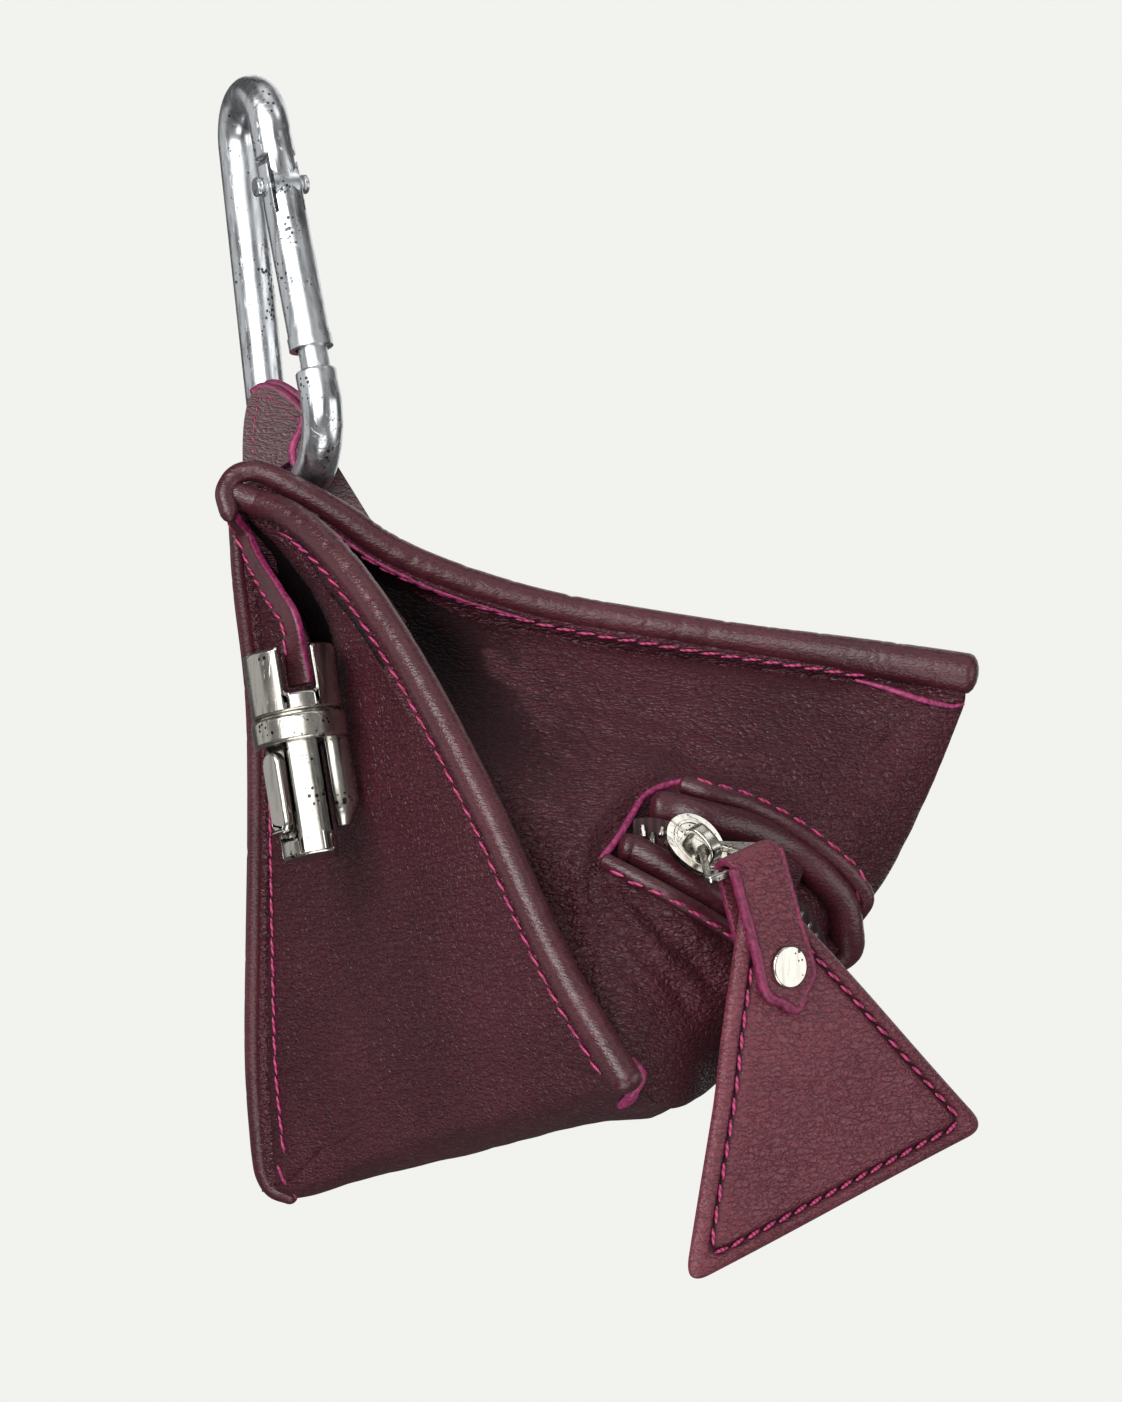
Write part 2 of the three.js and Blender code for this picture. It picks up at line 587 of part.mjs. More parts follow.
function buildPuller(pin) {
  const puller = groupAt(root, pin, PULLER_WAY, new THREE.Vector3().crossVectors(PULLER_WAY, BAR_WAY));
  const neck = PULLER.neck / 2;
  const end = barFrom + PULLER.bar;
  const outline = new THREE.Shape();
  outline.moveTo(-eyeStart, -neck + PULLER.corner);
  outline.lineTo(-eyeStart + PULLER.corner, -neck);
  outline.lineTo(eyeStart + PULLER.eyeLong, -neck);
  outline.lineTo(windowStart, -pullerHalf);
  outline.lineTo(end, -pullerHalf);
  outline.lineTo(end, pullerHalf);
  outline.lineTo(windowStart, pullerHalf);
  outline.lineTo(eyeStart + PULLER.eyeLong, neck);
  outline.lineTo(-eyeStart + PULLER.corner, neck);
  outline.lineTo(-eyeStart, neck - PULLER.corner);
  const hole = (x0, x1, half) => {
    const path = new THREE.Path();
    path.moveTo(x0, -half);
    path.lineTo(x0, half);
    path.lineTo(x1, half);
    path.lineTo(x1, -half);
    return path;
  };
  outline.holes.push(hole(eyeStart, eyeStart + PULLER.eyeLong, PULLER.eyeWide / 2));
  outline.holes.push(hole(windowStart, barFrom, windowHalf));
  const plate = extrude(outline, PULLER.thick).translate(0, 0, -PULLER.thick / 2);
  addPiece(puller, "zip_puller", geometryOf(solidOf(plate)), "nickel");
  return new THREE.Vector3(barAt, 0, 0).applyQuaternion(puller.quaternion).add(puller.position);
}

// Fob: local X along the bar, Z up towards the bar

function roundTriangle(base, high, top, corner) {
  const halfAt = (down) => (base / 2) * (down / high);
  const corners = [
    new THREE.Vector2(-halfAt(top), -top),
    new THREE.Vector2(-base / 2, -high),
    new THREE.Vector2(base / 2, -high),
    new THREE.Vector2(halfAt(top), -top),
  ];
  const shape = new THREE.Shape();
  corners.forEach((point, i) => {
    const before = corners[(i + 3) % 4];
    const after = corners[(i + 1) % 4];
    const cut = i === 1 || i === 2 ? corner : 1;
    const start = point.clone().add(before.clone().sub(point).setLength(cut));
    const stop = point.clone().add(after.clone().sub(point).setLength(cut));
    if (i === 0) shape.moveTo(start.x, start.y);
    else shape.lineTo(start.x, start.y);
    shape.quadraticCurveTo(point.x, point.y, stop.x, stop.y);
  });
  return shape;
}

function buildFob(bar) {
  const up = FOB_WAY.clone().negate();
  const fob = groupAt(root, bar, BAR_WAY, up);
  const { shaft, cap, capHigh, down } = RIVET;
  const inner = FOB.thick / 2 + GAP;
  const outer = inner + STRAP.thick;
  const bore = rodAt(shaft + GAP, 20, 12, "y", 0, 0, -down);
  // Outlines are drawn in X and Z, and pushed through along Y
  const upright = (geometry, depth) => solidOf(geometry.rotateX(Math.PI / 2).translate(0, depth / 2, 0));
  const plate = upright(extrude(roundTriangle(FOB.base, FOB.high, FOB.top, FOB.corner), FOB.thick), FOB.thick);
  addPiece(fob, "fob_plate", geometryOf(plate.subtract(bore)), "leather");

  const fold = new THREE.Shape();
  fold.moveTo(-outer, -STRAP.frontLeg);
  fold.lineTo(-inner, -STRAP.frontLeg);
  fold.lineTo(-inner, 0);
  fold.absarc(0, 0, inner, Math.PI, 0, true);
  fold.lineTo(inner, -STRAP.backLeg);
  fold.lineTo(outer, -STRAP.backLeg);
  fold.lineTo(outer, 0);
  fold.absarc(0, 0, outer, 0, Math.PI, false);
  const folded = solidOf(
    extrude(fold, STRAP.wide).rotateX(Math.PI / 2).rotateZ(Math.PI / 2).translate(-STRAP.wide / 2, 0, 0),
  );
  const half = STRAP.wide / 2 + 0.01;
  const pointed = new THREE.Shape();
  pointed.moveTo(-half, outer + 1);
  pointed.lineTo(-half, -STRAP.frontLeg + STRAP.tip);
  pointed.lineTo(0, -STRAP.frontLeg);
  pointed.lineTo(half, -STRAP.frontLeg + STRAP.tip);
  pointed.lineTo(half, outer + 1);
  const strap = folded.intersect(upright(extrude(pointed, 20), 20)).subtract(bore);
  addPiece(fob, "fob_strap", geometryOf(strap), "leather");

  const reach = outer + GAP;
  const rivet = rodAt(shaft, 2 * reach + 0.4, 12, "y", 0, 0, -down)
    .add(rodAt(cap, capHigh, 16, "y", 0, -reach - capHigh / 2, -down))
    .add(rodAt(cap * 0.8, capHigh, 16, "y", 0, reach + capHigh / 2, -down));
  addPiece(fob, "fob_rivet", geometryOf(rivet), "nickel");
}

// Snap hook: local Z up its length, X from its spine towards its gate, origin inside its top bend

const hookLean = new THREE.Group();
hookLean.rotation.y = -THREE.MathUtils.degToRad(HOOK.lean);
const hookTurn = new THREE.Group();
hookTurn.rotation.z = -THREE.MathUtils.degToRad(HOOK.turn);
hookLean.add(hookTurn);
root.add(hookLean);

const topCentre = new THREE.Vector3(0, 0, HOOK.rod - HOOK.topBend);
const lowCentre = new THREE.Vector3(HOOK.lowBend - HOOK.topBend, 0, 3 * HOOK.rod - HOOK.length + HOOK.lowBend);
const gateTop = new THREE.Vector3(HOOK.topBend, 0, topCentre.z);
const noseTop = new THREE.Vector3(lowCentre.x + HOOK.lowBend, 0, lowCentre.z);
// The middle of the gate's leg at a height
const legX = (z) => THREE.MathUtils.mapLinear(z, gateTop.z, noseTop.z, gateTop.x, noseTop.x);
const legLean = Math.atan2(noseTop.x - gateTop.x, gateTop.z - noseTop.z);

function bend(centre, radius, from, to, steps) {
  return Array.from({ length: steps + 1 }, (_, i) => {
    const turn = THREE.MathUtils.lerp(from, to, i / steps);
    return new THREE.Vector3(centre.x + radius * Math.cos(turn), 0, centre.z + radius * Math.sin(turn));
  });
}

// Turns a solid that stands on the leg's hinge or nose so that it leans with the leg
function onLeg(solid, z) {
  const turn = (legLean * 180) / Math.PI;
  return solid.rotate([0, -turn, 0]).translate([legX(z), 0, z]);
}

function buildHook() {
  const { rod } = HOOK;
  const tongueFoot = GATE.hinge + GATE.ear + 1;
  const noseEdge = GATE.end - GAP - 0.6;
  const line = [
    new THREE.Vector3(legX(tongueFoot), 0, tongueFoot),
    ...bend(topCentre, HOOK.topBend, 0, Math.PI, 10),
    ...bend(lowCentre, HOOK.lowBend, Math.PI, 2 * Math.PI, 14),
    new THREE.Vector3(legX(noseEdge), 0, noseEdge),
  ];
  const tongueHigh = GATE.ear + 2.2;
  const tongue = boxAt(2 * GATE.ear, 2 * GATE.tongue, tongueHigh, 0, 0, tongueHigh / 2)
    .add(rodAt(GATE.ear, 2 * GATE.tongue, 16, "y", 0, 0, 0))
    .subtract(rodAt(GATE.pin + GAP, 12, 12, "y", 0, 0, 0));
  const neckLong = 4.4;
  const nose = boxAt(3.2, 2 * NOSE.neck, neckLong, 0.3, 0, neckLong / 2 - 0.2).add(
    rodAt(NOSE.head - 0.3, 2 * NOSE.head, 12, "y", 0.3, 0, neckLong - 0.4),
  );
  const frame = solidOf(flatRod(line, rod)).add(onLeg(tongue, GATE.hinge)).add(onLeg(nose, noseEdge));
  addPiece(hookTurn, "hook_frame", geometryOf(frame), "steel");

  // The gate: a sleeve forked over the tongue, slotted outwards at its free end for the nose
  const high = (GATE.hinge - GATE.end) / Math.cos(legLean) + GATE.ear;
  const slotHigh = neckLong + 1.6;
  const sleeve = rodAt(GATE.radius, high, 16, "z", 0, 0, GATE.ear - high / 2);
  const fork = boxAt(12, 2 * (GATE.tongue + GAP), 2 * GATE.ear + 4.4, 0, 0, 0);
  const endZ = GATE.ear - high;
  const catchNarrow = boxAt(12, 2 * (NOSE.neck + 0.4), slotHigh, 6 - 2.4, 0, endZ + slotHigh / 2 - 0.5);
  const catchWide = boxAt(12, 2 * (NOSE.head + 0.4), slotHigh - 0.8, 6 - 2.8, 0, endZ + slotHigh / 2 + 0.5);
  const gate = sleeve.subtract(fork).subtract(catchNarrow).subtract(catchWide)
    .subtract(rodAt(GATE.pin + GAP, 12, 12, "y", 0, 0, 0));
  addPiece(hookTurn, "hook_gate", geometryOf(onLeg(gate, GATE.hinge)), "steel");

  const earOut = GATE.radius + GAP;
  const pin = rodAt(GATE.pin, 2 * earOut + 0.4, 12, "y", 0, 0, 0)
    .add(rodAt(GATE.pinHead, GATE.pinOut, 12, "y", 0, earOut + GATE.pinOut / 2, 0))
    .add(rodAt(GATE.pinHead, GATE.pinOut, 12, "y", 0, -earOut - GATE.pinOut / 2, 0));
  addPiece(hookTurn, "hook_pin", geometryOf(onLeg(pin, GATE.hinge)), "steel");
}

// A rod along a line in the hook's own plane
function flatRod(line, radius, sides = 12) {
  const side = new THREE.Vector3(0, 1, 0);
  const last = line.length - 1;
  return loft(
    line.map((point, i) => {
      const along = line[Math.min(i + 1, last)].clone().sub(line[Math.max(i - 1, 0)]).normalize();
      const other = new THREE.Vector3().crossVectors(along, side);
      return Array.from({ length: sides }, (_, k) => {
        const turn = (2 * Math.PI * k) / sides;
        return point
          .clone()
          .addScaledVector(side, radius * Math.cos(turn))
          .addScaledVector(other, radius * Math.sin(turn));
      });
    }),
  );
}

// Hang tab: its hole rides on the lowest stretch of the hook, and its foot lies behind the pouch

function buildTab() {
  root.updateMatrixWorld(true);
  const lowest = hookTurn.localToWorld(new THREE.Vector3(lowCentre.x, 0, lowCentre.z - HOOK.lowBend));
  const tab = new THREE.Group();
  tab.position.copy(lowest);
  tab.rotation.x = -THREE.MathUtils.degToRad(TAB.lean);
  root.add(tab);
  // A tongue round the hole: upright on its left, slanted on its right, rounded at the top
  const outline = new THREE.Shape();
  outline.moveTo(TAB.footLeft, TAB.foot);
  outline.lineTo(TAB.left, TAB.leftHigh);
  outline.quadraticCurveTo(...TAB.tipCorner, ...TAB.tip);
  outline.quadraticCurveTo(...TAB.shoulderCorner, ...TAB.shoulder);
  outline.lineTo(TAB.right, TAB.rightHigh);
  outline.lineTo(TAB.footRight, TAB.foot);
  const hole = new THREE.Path();
  hole.absellipse(-TAB.holeLeft, -TAB.holeDrop, TAB.hole + TAB.holeWider, TAB.hole, 0, 2 * Math.PI);
  outline.holes.push(hole);
  const plate = extrude(outline, TAB.thick).rotateX(Math.PI / 2).translate(0, TAB.thick / 2, 0);
  addPiece(tab, "hang_tab", geometryOf(solidOf(plate)), "leather");
}

// Clasp: local Z up its axis, X straight out from the left wall

function roundBar(radius, high, z, bevel = CLASP.bevel) {
  const top = z + high;
  const inner = radius - bevel;
  const profile = [[0, z], [inner, z], [radius, z + bevel], [radius, top - bevel], [inner, top], [0, top]];
  const line = profile.map(([x, y]) => new THREE.Vector2(x, y));
  return solidOf(new THREE.LatheGeometry(line, 24).rotateX(Math.PI / 2));
}

// A box through the clasp along its slots, between two distances beside its axis and two heights
function claspSlot(from, to, low, high) {
  const box = boxAt(to - from, 6 * CLASP.radius, high - low, (from + to) / 2, 0, (low + high) / 2);
  return box.rotate([0, 0, -CLASP.turn]);
}

function buildClasp() {
  const { at, normal, up } = claspPlace();
  const clasp = groupAt(root, at, normal, up);
  const { radius, collar, collarFoot, barrel, column, cap, cup, slotIn, slotDeep } = CLASP;
  const top = claspTop();
  const foot = collarFoot - barrel;
  const far = 3 * radius;

  const slot = claspSlot(-slotIn - CLASP.slot / 2, -slotIn + CLASP.slot / 2, top - slotDeep, top + 1);
  addPiece(clasp, "clasp_cap", geometryOf(roundBar(radius, cap, top - cap).subtract(slot)), "nickel");

  // Barrel: a collar, a column that is flat beside the groove and wider at its cup, and a pointed prong to the wall
  const cupTop = foot + cup;
  const post = roundBar(column, barrel + 1, foot)
    .subtract(claspSlot(-far, -CLASP.grooveNear, cupTop, collarFoot))
    .subtract(claspSlot(-far, -CLASP.cupIn, foot - 1, cupTop + 1));
  const prongTop = collarFoot + 1;
  const prongFoot = collarFoot - CLASP.footLong;
  const half = CLASP.footWide / 2;
  const prong = new THREE.Shape();
  prong.moveTo(-half, prongTop);
  prong.lineTo(-half, prongFoot + CLASP.footTip);
  prong.lineTo(0, prongFoot);
  prong.lineTo(half, prongFoot + CLASP.footTip);
  prong.lineTo(half, prongTop);
  const reach = CLASP.standOff - GAP;
  const prongBar = extrude(prong, reach - CLASP.footIn).rotateX(Math.PI / 2).rotateZ(Math.PI / 2);
  const prongCut = claspSlot(-CLASP.grooveFar, far, prongFoot - 1, collarFoot);
  const leverFace = column - CLASP.leverIn;
  const gap = CLASP.leverGap;
  const leverTop = collarFoot - gap;
  const recess = boxAt(
    radius, CLASP.leverWide + 2 * gap, CLASP.leverLong + 2 * gap,
    leverFace - CLASP.leverTravel - gap + radius / 2, 0, leverTop - CLASP.leverLong / 2,
  );
  const body = roundBar(radius, collar, collarFoot)
    .add(post)
    .add(solidOf(prongBar.translate(-reach, 0, 0)).subtract(prongCut))
    .subtract(recess);
  addPiece(clasp, "clasp_barrel", geometryOf(body), "nickel");

  const lever = new THREE.Shape();
  const end = CLASP.leverWide / 2;
  const upperEnd = leverTop - gap - end;
  lever.moveTo(-end, upperEnd);
  lever.absarc(0, upperEnd, end, Math.PI, 0, true);
  lever.absarc(0, leverTop + gap - CLASP.leverLong + end, end, 0, -Math.PI, true);
  const bar = extrude(lever, CLASP.leverThick).rotateX(Math.PI / 2).rotateZ(Math.PI / 2);
  addPiece(clasp, "clasp_lever", geometryOf(solidOf(bar.translate(leverFace, 0, 0))), "nickel");
}

buildPouch();
buildPiping();
buildZip();
const pullerPin = buildSlider();
const fobBar = buildPuller(pullerPin);
buildFob(fobBar);
buildHook();
buildTab();
buildClasp();

export default root;
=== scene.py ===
import math
import bmesh
import bpy
import numpy as np
from mathutils import Matrix, Vector, noise
from mathutils.bvhtree import BVHTree


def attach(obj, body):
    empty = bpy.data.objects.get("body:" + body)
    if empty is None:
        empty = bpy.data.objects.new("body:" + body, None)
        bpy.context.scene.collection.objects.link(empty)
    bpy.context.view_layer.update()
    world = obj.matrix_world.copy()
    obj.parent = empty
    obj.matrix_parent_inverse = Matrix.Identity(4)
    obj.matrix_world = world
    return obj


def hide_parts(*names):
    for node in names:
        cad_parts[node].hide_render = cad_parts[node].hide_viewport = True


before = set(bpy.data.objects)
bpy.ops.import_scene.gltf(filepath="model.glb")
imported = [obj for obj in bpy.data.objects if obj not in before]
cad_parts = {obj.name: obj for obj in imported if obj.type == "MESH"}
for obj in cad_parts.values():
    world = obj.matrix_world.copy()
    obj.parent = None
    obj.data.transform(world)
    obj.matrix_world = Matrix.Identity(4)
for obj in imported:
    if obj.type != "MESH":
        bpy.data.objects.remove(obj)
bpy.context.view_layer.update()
scene = bpy.context.scene
mm = 0.001

# Camera, as the bag is seen
camera = dict(at=(60.3, -1015.0, -114.2), lens=133.5, sensor=36.0, pxPerMm=5.2, wide=1122, high=1402, plane=-15.0)
camData = bpy.data.cameras.new("camera")
camData.lens = camera["lens"]
camData.sensor_width = camera["sensor"]
camObject = bpy.data.objects.new("camera", camData)
camObject.location = Vector(camera["at"]) * mm
camObject.rotation_euler = (math.radians(90), 0, 0)
scene.collection.objects.link(camObject)
scene.camera = camObject
print("stage: camera")


# Nodes and materials

def linear(code):
    parts = [int(code[i:i + 2], 16) / 255 for i in (1, 3, 5)]
    return (*[c / 12.92 if c <= 0.04045 else ((c + 0.055) / 1.055) ** 2.4 for c in parts], 1.0)


def setInputs(tree, node, inputs):
    for key, value in inputs.items():
        if isinstance(value, bpy.types.NodeSocket):
            tree.links.new(value, node.inputs[key])
        else:
            node.inputs[key].default_value = value


def addNode(tree, kind, inputs, **settings):
    made = tree.nodes.new(kind)
    for key, value in settings.items():
        setattr(made, key, value)
    setInputs(tree, made, inputs)
    return made


def newMaterial(name):
    material = bpy.data.materials.new(name)
    material.use_nodes = True
    tree = material.node_tree
    tree.nodes.clear()
    shader = addNode(tree, "ShaderNodeBsdfPrincipled", {})
    addNode(tree, "ShaderNodeOutputMaterial", {"Surface": shader.outputs[0]})
    return material, tree, shader, addNode(tree, "ShaderNodeTexCoord", {}).outputs["Object"]


def perMm(size):
    return 1000.0 / size  # texture scale for a cell of that many millimetres


def noiseNode(tree, place, size, detail, **more):
    inputs = {"Vector": place, "Scale": perMm(size), "Detail": detail, **more}
    return addNode(tree, "ShaderNodeTexNoise", inputs).outputs


def cellNode(tree, place, size, feature):
    cells = addNode(tree, "ShaderNodeTexVoronoi", {"Vector": place, "Scale": perMm(size)}, feature=feature)
    return cells.outputs["Distance"]


def stretched(tree, place, scale, turn):
    return addNode(tree, "ShaderNodeMapping", {"Vector": place, "Scale": scale, "Rotation": turn}).outputs[0]


def ranged(tree, value, source, target=(0.0, 1.0)):
    return addNode(tree, "ShaderNodeMapRange", {"Value": value, "From Min": source[0], "From Max": source[1],
                                                "To Min": target[0], "To Max": target[1]}).outputs[0]


def worked(tree, operation, *values, kind="ShaderNodeMath"):
    return addNode(tree, kind, dict(enumerate(values)), operation=operation).outputs[0]


def mixed(tree, share, first, second):
    return addNode(tree, "ShaderNodeMix", {"Factor": share, 6: first, 7: second}, data_type="RGBA").outputs[2]


def ramped(tree, value, stops):
    ramp = addNode(tree, "ShaderNodeValToRGB", {"Fac": value})
    marks = ramp.color_ramp.elements
    while len(marks) < len(stops):
        marks.new(0.5)
    for mark, (at, code) in zip(marks, stops):
        mark.position = at
        mark.color = linear(code)
    return ramp.outputs["Color"]


def bumped(tree, height, strength, depth):
    return addNode(tree, "ShaderNodeBump", {"Height": height, "Strength": strength, "Distance": depth * mm}).outputs[0]


def ownValue(tree, name):
    return addNode(tree, "ShaderNodeAttribute", {}, attribute_name=name).outputs["Fac"]


# Vegetable-tanned goat leather, dyed burgundy and lightly waxed: small pebbles between fine creases,
# a soft broad shine, darker in the creases, and painted shade in the folds, the mouth and the gaps between parts
leatherLook = dict(
    dark="#3a121c", mid="#41151f", light="#491925", deep="#1f0810", paintedShadeColour="#020101", stops=(0.3, 0.52, 0.75),
    pebble=1.15, pebbleScale=(0.75, 0.9, 1.45), pebbleTurn=(0.0, 0.25, 0.0), pebbleEdge=0.28,
    crease=2.6, creaseScale=(0.6, 0.8, 2.3), creaseTurn=(0.2, 0.45, 0.1), creaseEdge=0.16,
    wrinkle=1.6, wrinkleScale=(0.45, 0.6, 1.7), wrinkleTurn=(0.1, 0.3, 0.0), wrinkleRange=(0.36, 0.62), wrinkleHigh=2.6,
    wander=1.6, wanderFar=0.9, fine=0.5, fineShare=0.2, patch=30.0, rough=(0.37, 0.44), bump=1.0, depth=0.19,
    refraction=1.46, shine=0.4, paintedShadeShine=0.1, sheen=0.02, sheenRough=0.4)


def makeLeather(name, look):
    material, tree, shader, place = newMaterial(name)
    wander = noiseNode(tree, place, look["wander"], 2.0)["Color"]
    shifted = worked(tree, "MULTIPLY", wander, (look["wanderFar"] * mm,) * 3, kind="ShaderNodeVectorMath")
    moved = worked(tree, "ADD", place, shifted, kind="ShaderNodeVectorMath")
    drawn = {key: stretched(tree, moved, look[key + "Scale"], look[key + "Turn"])
             for key in ("pebble", "crease", "wrinkle")}
    both = worked(tree, "ADD", *[
        ranged(tree, cellNode(tree, drawn[key], look[key], "DISTANCE_TO_EDGE"), (0.0, look[key + "Edge"]))
        for key in ("pebble", "crease")])
    fine = noiseNode(tree, place, look["fine"], 3.0)["Fac"]
    grain = worked(tree, "MULTIPLY_ADD", fine, look["fineShare"], both)
    wrinkle = noiseNode(tree, drawn["wrinkle"], look["wrinkle"], 3.0, Distortion=0.7)["Fac"]
    wrinkleHeight = ranged(tree, wrinkle, look["wrinkleRange"], (0.0, look["wrinkleHigh"]))
    height = worked(tree, "MULTIPLY_ADD", wrinkleHeight, ownValue(tree, "creased"), grain)
    patch = noiseNode(tree, place, look["patch"], 4.0)["Fac"]
    dyed = ramped(tree, patch, list(zip(look["stops"], (look["dark"], look["mid"], look["light"]))))
    worn = mixed(tree, ranged(tree, both, (0.0, 1.2), (0.45, 1.0)), linear(look["deep"]), dyed)
    # Painted shade: the attribute inside darkens the colour towards near black and dims the shine
    inside = ownValue(tree, "inside")
    setInputs(tree, shader, {
        "Base Color": mixed(tree, inside, worn, linear(look["paintedShadeColour"])),
        "Roughness": worked(tree, "MAXIMUM", ranged(tree, patch, (0.3, 0.7), look["rough"]), inside),
        "Normal": bumped(tree, height, look["bump"], look["depth"]),
        "Specular IOR Level": look["shine"], "IOR": look["refraction"],
        "Specular Tint": ranged(tree, inside, (0.0, 1.0), (1.0, look["paintedShadeShine"])),
        "Sheen Weight": look["sheen"], "Sheen Roughness": look["sheenRough"]})
    return material


burgundyLeather = makeLeather("burgundyGoatLeather", leatherLook)
rolledLeather = makeLeather("burgundyRolledLeather", dict(
    leatherLook, dark="#38121b", mid="#451821", light="#521f2a", pebble=1.0, crease=2.2, rough=(0.32, 0.4), bump=0.22,
    shine=0.62))
# The fob's leather is a lighter copy: partly painted light, as the fob faces the lamps, and partly its own greyer pink
fobLeather = makeLeather("burgundyFobLeather", dict(
    leatherLook, dark="#59222e", mid="#652b37", light="#70333f", bump=0.6, shine=0.5))


# One pattern gives both the colour, between dark and light, and the relief
def makePattern(name, look):
    material, tree, shader, place = newMaterial(name)
    turned = stretched(tree, place, (1.0, 1.0, 1.0), look.get("turn", (0.0, 0.0, 0.0)))
    kind, inputs = look["pattern"]
    pattern = addNode(tree, kind, {"Vector": turned, "Scale": perMm(look["size"]), **inputs}).outputs["Fac"]
    setInputs(tree, shader, {
        "Base Color": ramped(tree, pattern, list(zip(look["stops"], (look["dark"], look["light"])))),
        "Normal": bumped(tree, pattern, look["bump"], look["depth"]),
        "Roughness": look["rough"], "Specular IOR Level": look.get("shine", 0.5)})
    return material


# Flesh side of the leather inside the mouth, made near black as painted shade: matt and fibrous
shadedFleshSide = makePattern("burgundyShadedFleshSide", dict(
    dark="#050203", light="#130609", stops=(0.35, 0.7), pattern=("ShaderNodeTexNoise", {"Detail": 4.0}), size=0.7,
    bump=0.4, depth=0.1, rough=0.95, shine=0.08))
# Edge paint on raw cut leather, brushed on in pink: satin, a little uneven
edgeLook = dict(dark="#5e1236", light="#a3346a", stops=(0.32, 0.68), pattern=("ShaderNodeTexNoise", {"Detail": 3.0}),
                size=0.8, bump=0.5, depth=0.12, rough=0.5)
pinkEdge = makePattern("pinkEdgePaint", edgeLook)
magentaEdge = makePattern("magentaEdgePaint", dict(edgeLook, dark="#4a0f2a", light="#86234f"))
# Waxed polyester thread in pink: two twisted plies, satin
waveCell = 6.3  # the scale's cell for each millimetre of a wave
pinkThread = makePattern("pinkPolyesterThread", dict(
    dark="#74183f", light="#b53c70", stops=(0.1, 0.7), pattern=("ShaderNodeTexWave", {"Distortion": 1.5}),
    size=0.45 * waveCell, turn=(0.6, 0.8, 0.0), bump=0.6, depth=0.08, rough=0.55))
# Woven polyester zip tape, dyed dark burgundy: a fine ribbed weave, matt
zipTape = makePattern("wovenZipTape", dict(
    dark="#1c0a0e", light="#3a1820", stops=(0.2, 0.8), pattern=("ShaderNodeTexWave", {"Distortion": 0.4}),
    size=0.8 * waveCell, bump=0.5, depth=0.1, rough=0.85))

# Polished metal: steel rod and nickel plate, mirror bright with fine pits and handling scratches
steelLook = dict(base="#d2d5d8", worn="#4c4f53", rough=(0.2, 0.38), smear=9.0, pit=1.0, pitPatch=4.5, pitReach=0.39,
                 scratch=4.0, scratchScale=(1.0, 14.0, 1.6), scratchTurn=(0.4, 0.3, 0.9),
                 streak=0.55, run=6.0, runScale=(5.0, 5.0, 0.7), runTurn=(0.0, -0.11, 0.0), bump=0.5, depth=0.07)


def makeMetal(name, look):
    material, tree, shader, place = newMaterial(name)
    some = noiseNode(tree, place, look["pitPatch"], 1.0)["Fac"]
    inPit = worked(tree, "LESS_THAN", cellNode(tree, place, look["pit"], "F1"),
                   ranged(tree, some, (0.47, 0.7), (0.0, look["pitReach"])))
    lines = stretched(tree, place, look["scratchScale"], look["scratchTurn"])
    scratched = ranged(tree, noiseNode(tree, lines, look["scratch"], 4.0)["Fac"], (0.6, 0.75))
    runs = stretched(tree, place, look["runScale"], look["runTurn"])
    dulled = ranged(tree, noiseNode(tree, runs, look["run"], 5.0)["Fac"], (0.5, 0.72), (0.0, look["streak"]))
    marked = worked(tree, "MAXIMUM", inPit, dulled)
    smear = noiseNode(tree, place, look["smear"], 5.0)["Fac"]
    setInputs(tree, shader, {
        "Base Color": mixed(tree, marked, linear(look["base"]), linear(look["worn"])),
        "Roughness": ranged(tree, smear, (0.35, 0.7), look["rough"]), "Metallic": 1.0,
        "Normal": bumped(tree, worked(tree, "MULTIPLY_ADD", inPit, -1.0, scratched), look["bump"], look["depth"])})
    return material


polishedSteel = makeMetal("polishedSteel", steelLook)
nickelPlate = makeMetal("polishedNickelPlate", dict(
    steelLook, base="#bfbbb3", worn="#45413c", rough=(0.15, 0.31), pit=1.1, scratch=6.4, streak=0.3))
print("stage: materials")


# Making meshes

alongX = Matrix.Rotation(math.pi / 2, 4, "Y")
alongY = Matrix.Rotation(math.pi / 2, 4, "X")


def plain(bm, name="tool"):
    mesh = bpy.data.meshes.new(name)
    bm.to_mesh(mesh)
    bm.free()
    made = bpy.data.objects.new(name, mesh)
    scene.collection.objects.link(made)
    return made


def newPiece(name, bm, materials, nodes=(), body="bag", sharp=None):
    made = plain(bm, name)
    mesh = made.data
    for material in materials:
        mesh.materials.append(material)
    mesh.shade_smooth()
    if sharp:
        mesh.set_sharp_from_angle(angle=math.radians(sharp))
    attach(made, body)
    if nodes:
        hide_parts(*nodes)
    return made


def setOwnValue(made, name, values):
    made.data.attributes.new(name, "FLOAT", "POINT").data.foreach_set("value", values.astype(np.float32))


# A grid whose vertices are put in place by their shares across and along, with open edges that meet merged
def gridMesh(columns, rows, place, paint=None):
    bm = bmesh.new()
    bmesh.ops.create_grid(bm, x_segments=columns, y_segments=rows, size=0.5)
    bm.verts.ensure_lookup_table()
    shares = np.array([v.co[:2] for v in bm.verts], float) + 0.5
    spots = place(shares[:, 0], shares[:, 1]) * mm
    if paint:
        for face in bm.faces:
            face.material_index = paint(*np.mean([shares[v.index] for v in face.verts], axis=0))
    for vert, spot in zip(bm.verts, spots):
        vert.co = spot
    bmesh.ops.remove_doubles(bm, verts=bm.verts, dist=2e-6)
    bmesh.ops.dissolve_degenerate(bm, edges=bm.edges, dist=1e-7)
    bmesh.ops.recalc_face_normals(bm, faces=bm.faces)
    return bm


def unit(vectors):
    return vectors / np.maximum(np.linalg.norm(vectors, axis=-1, keepdims=True), 1e-9)


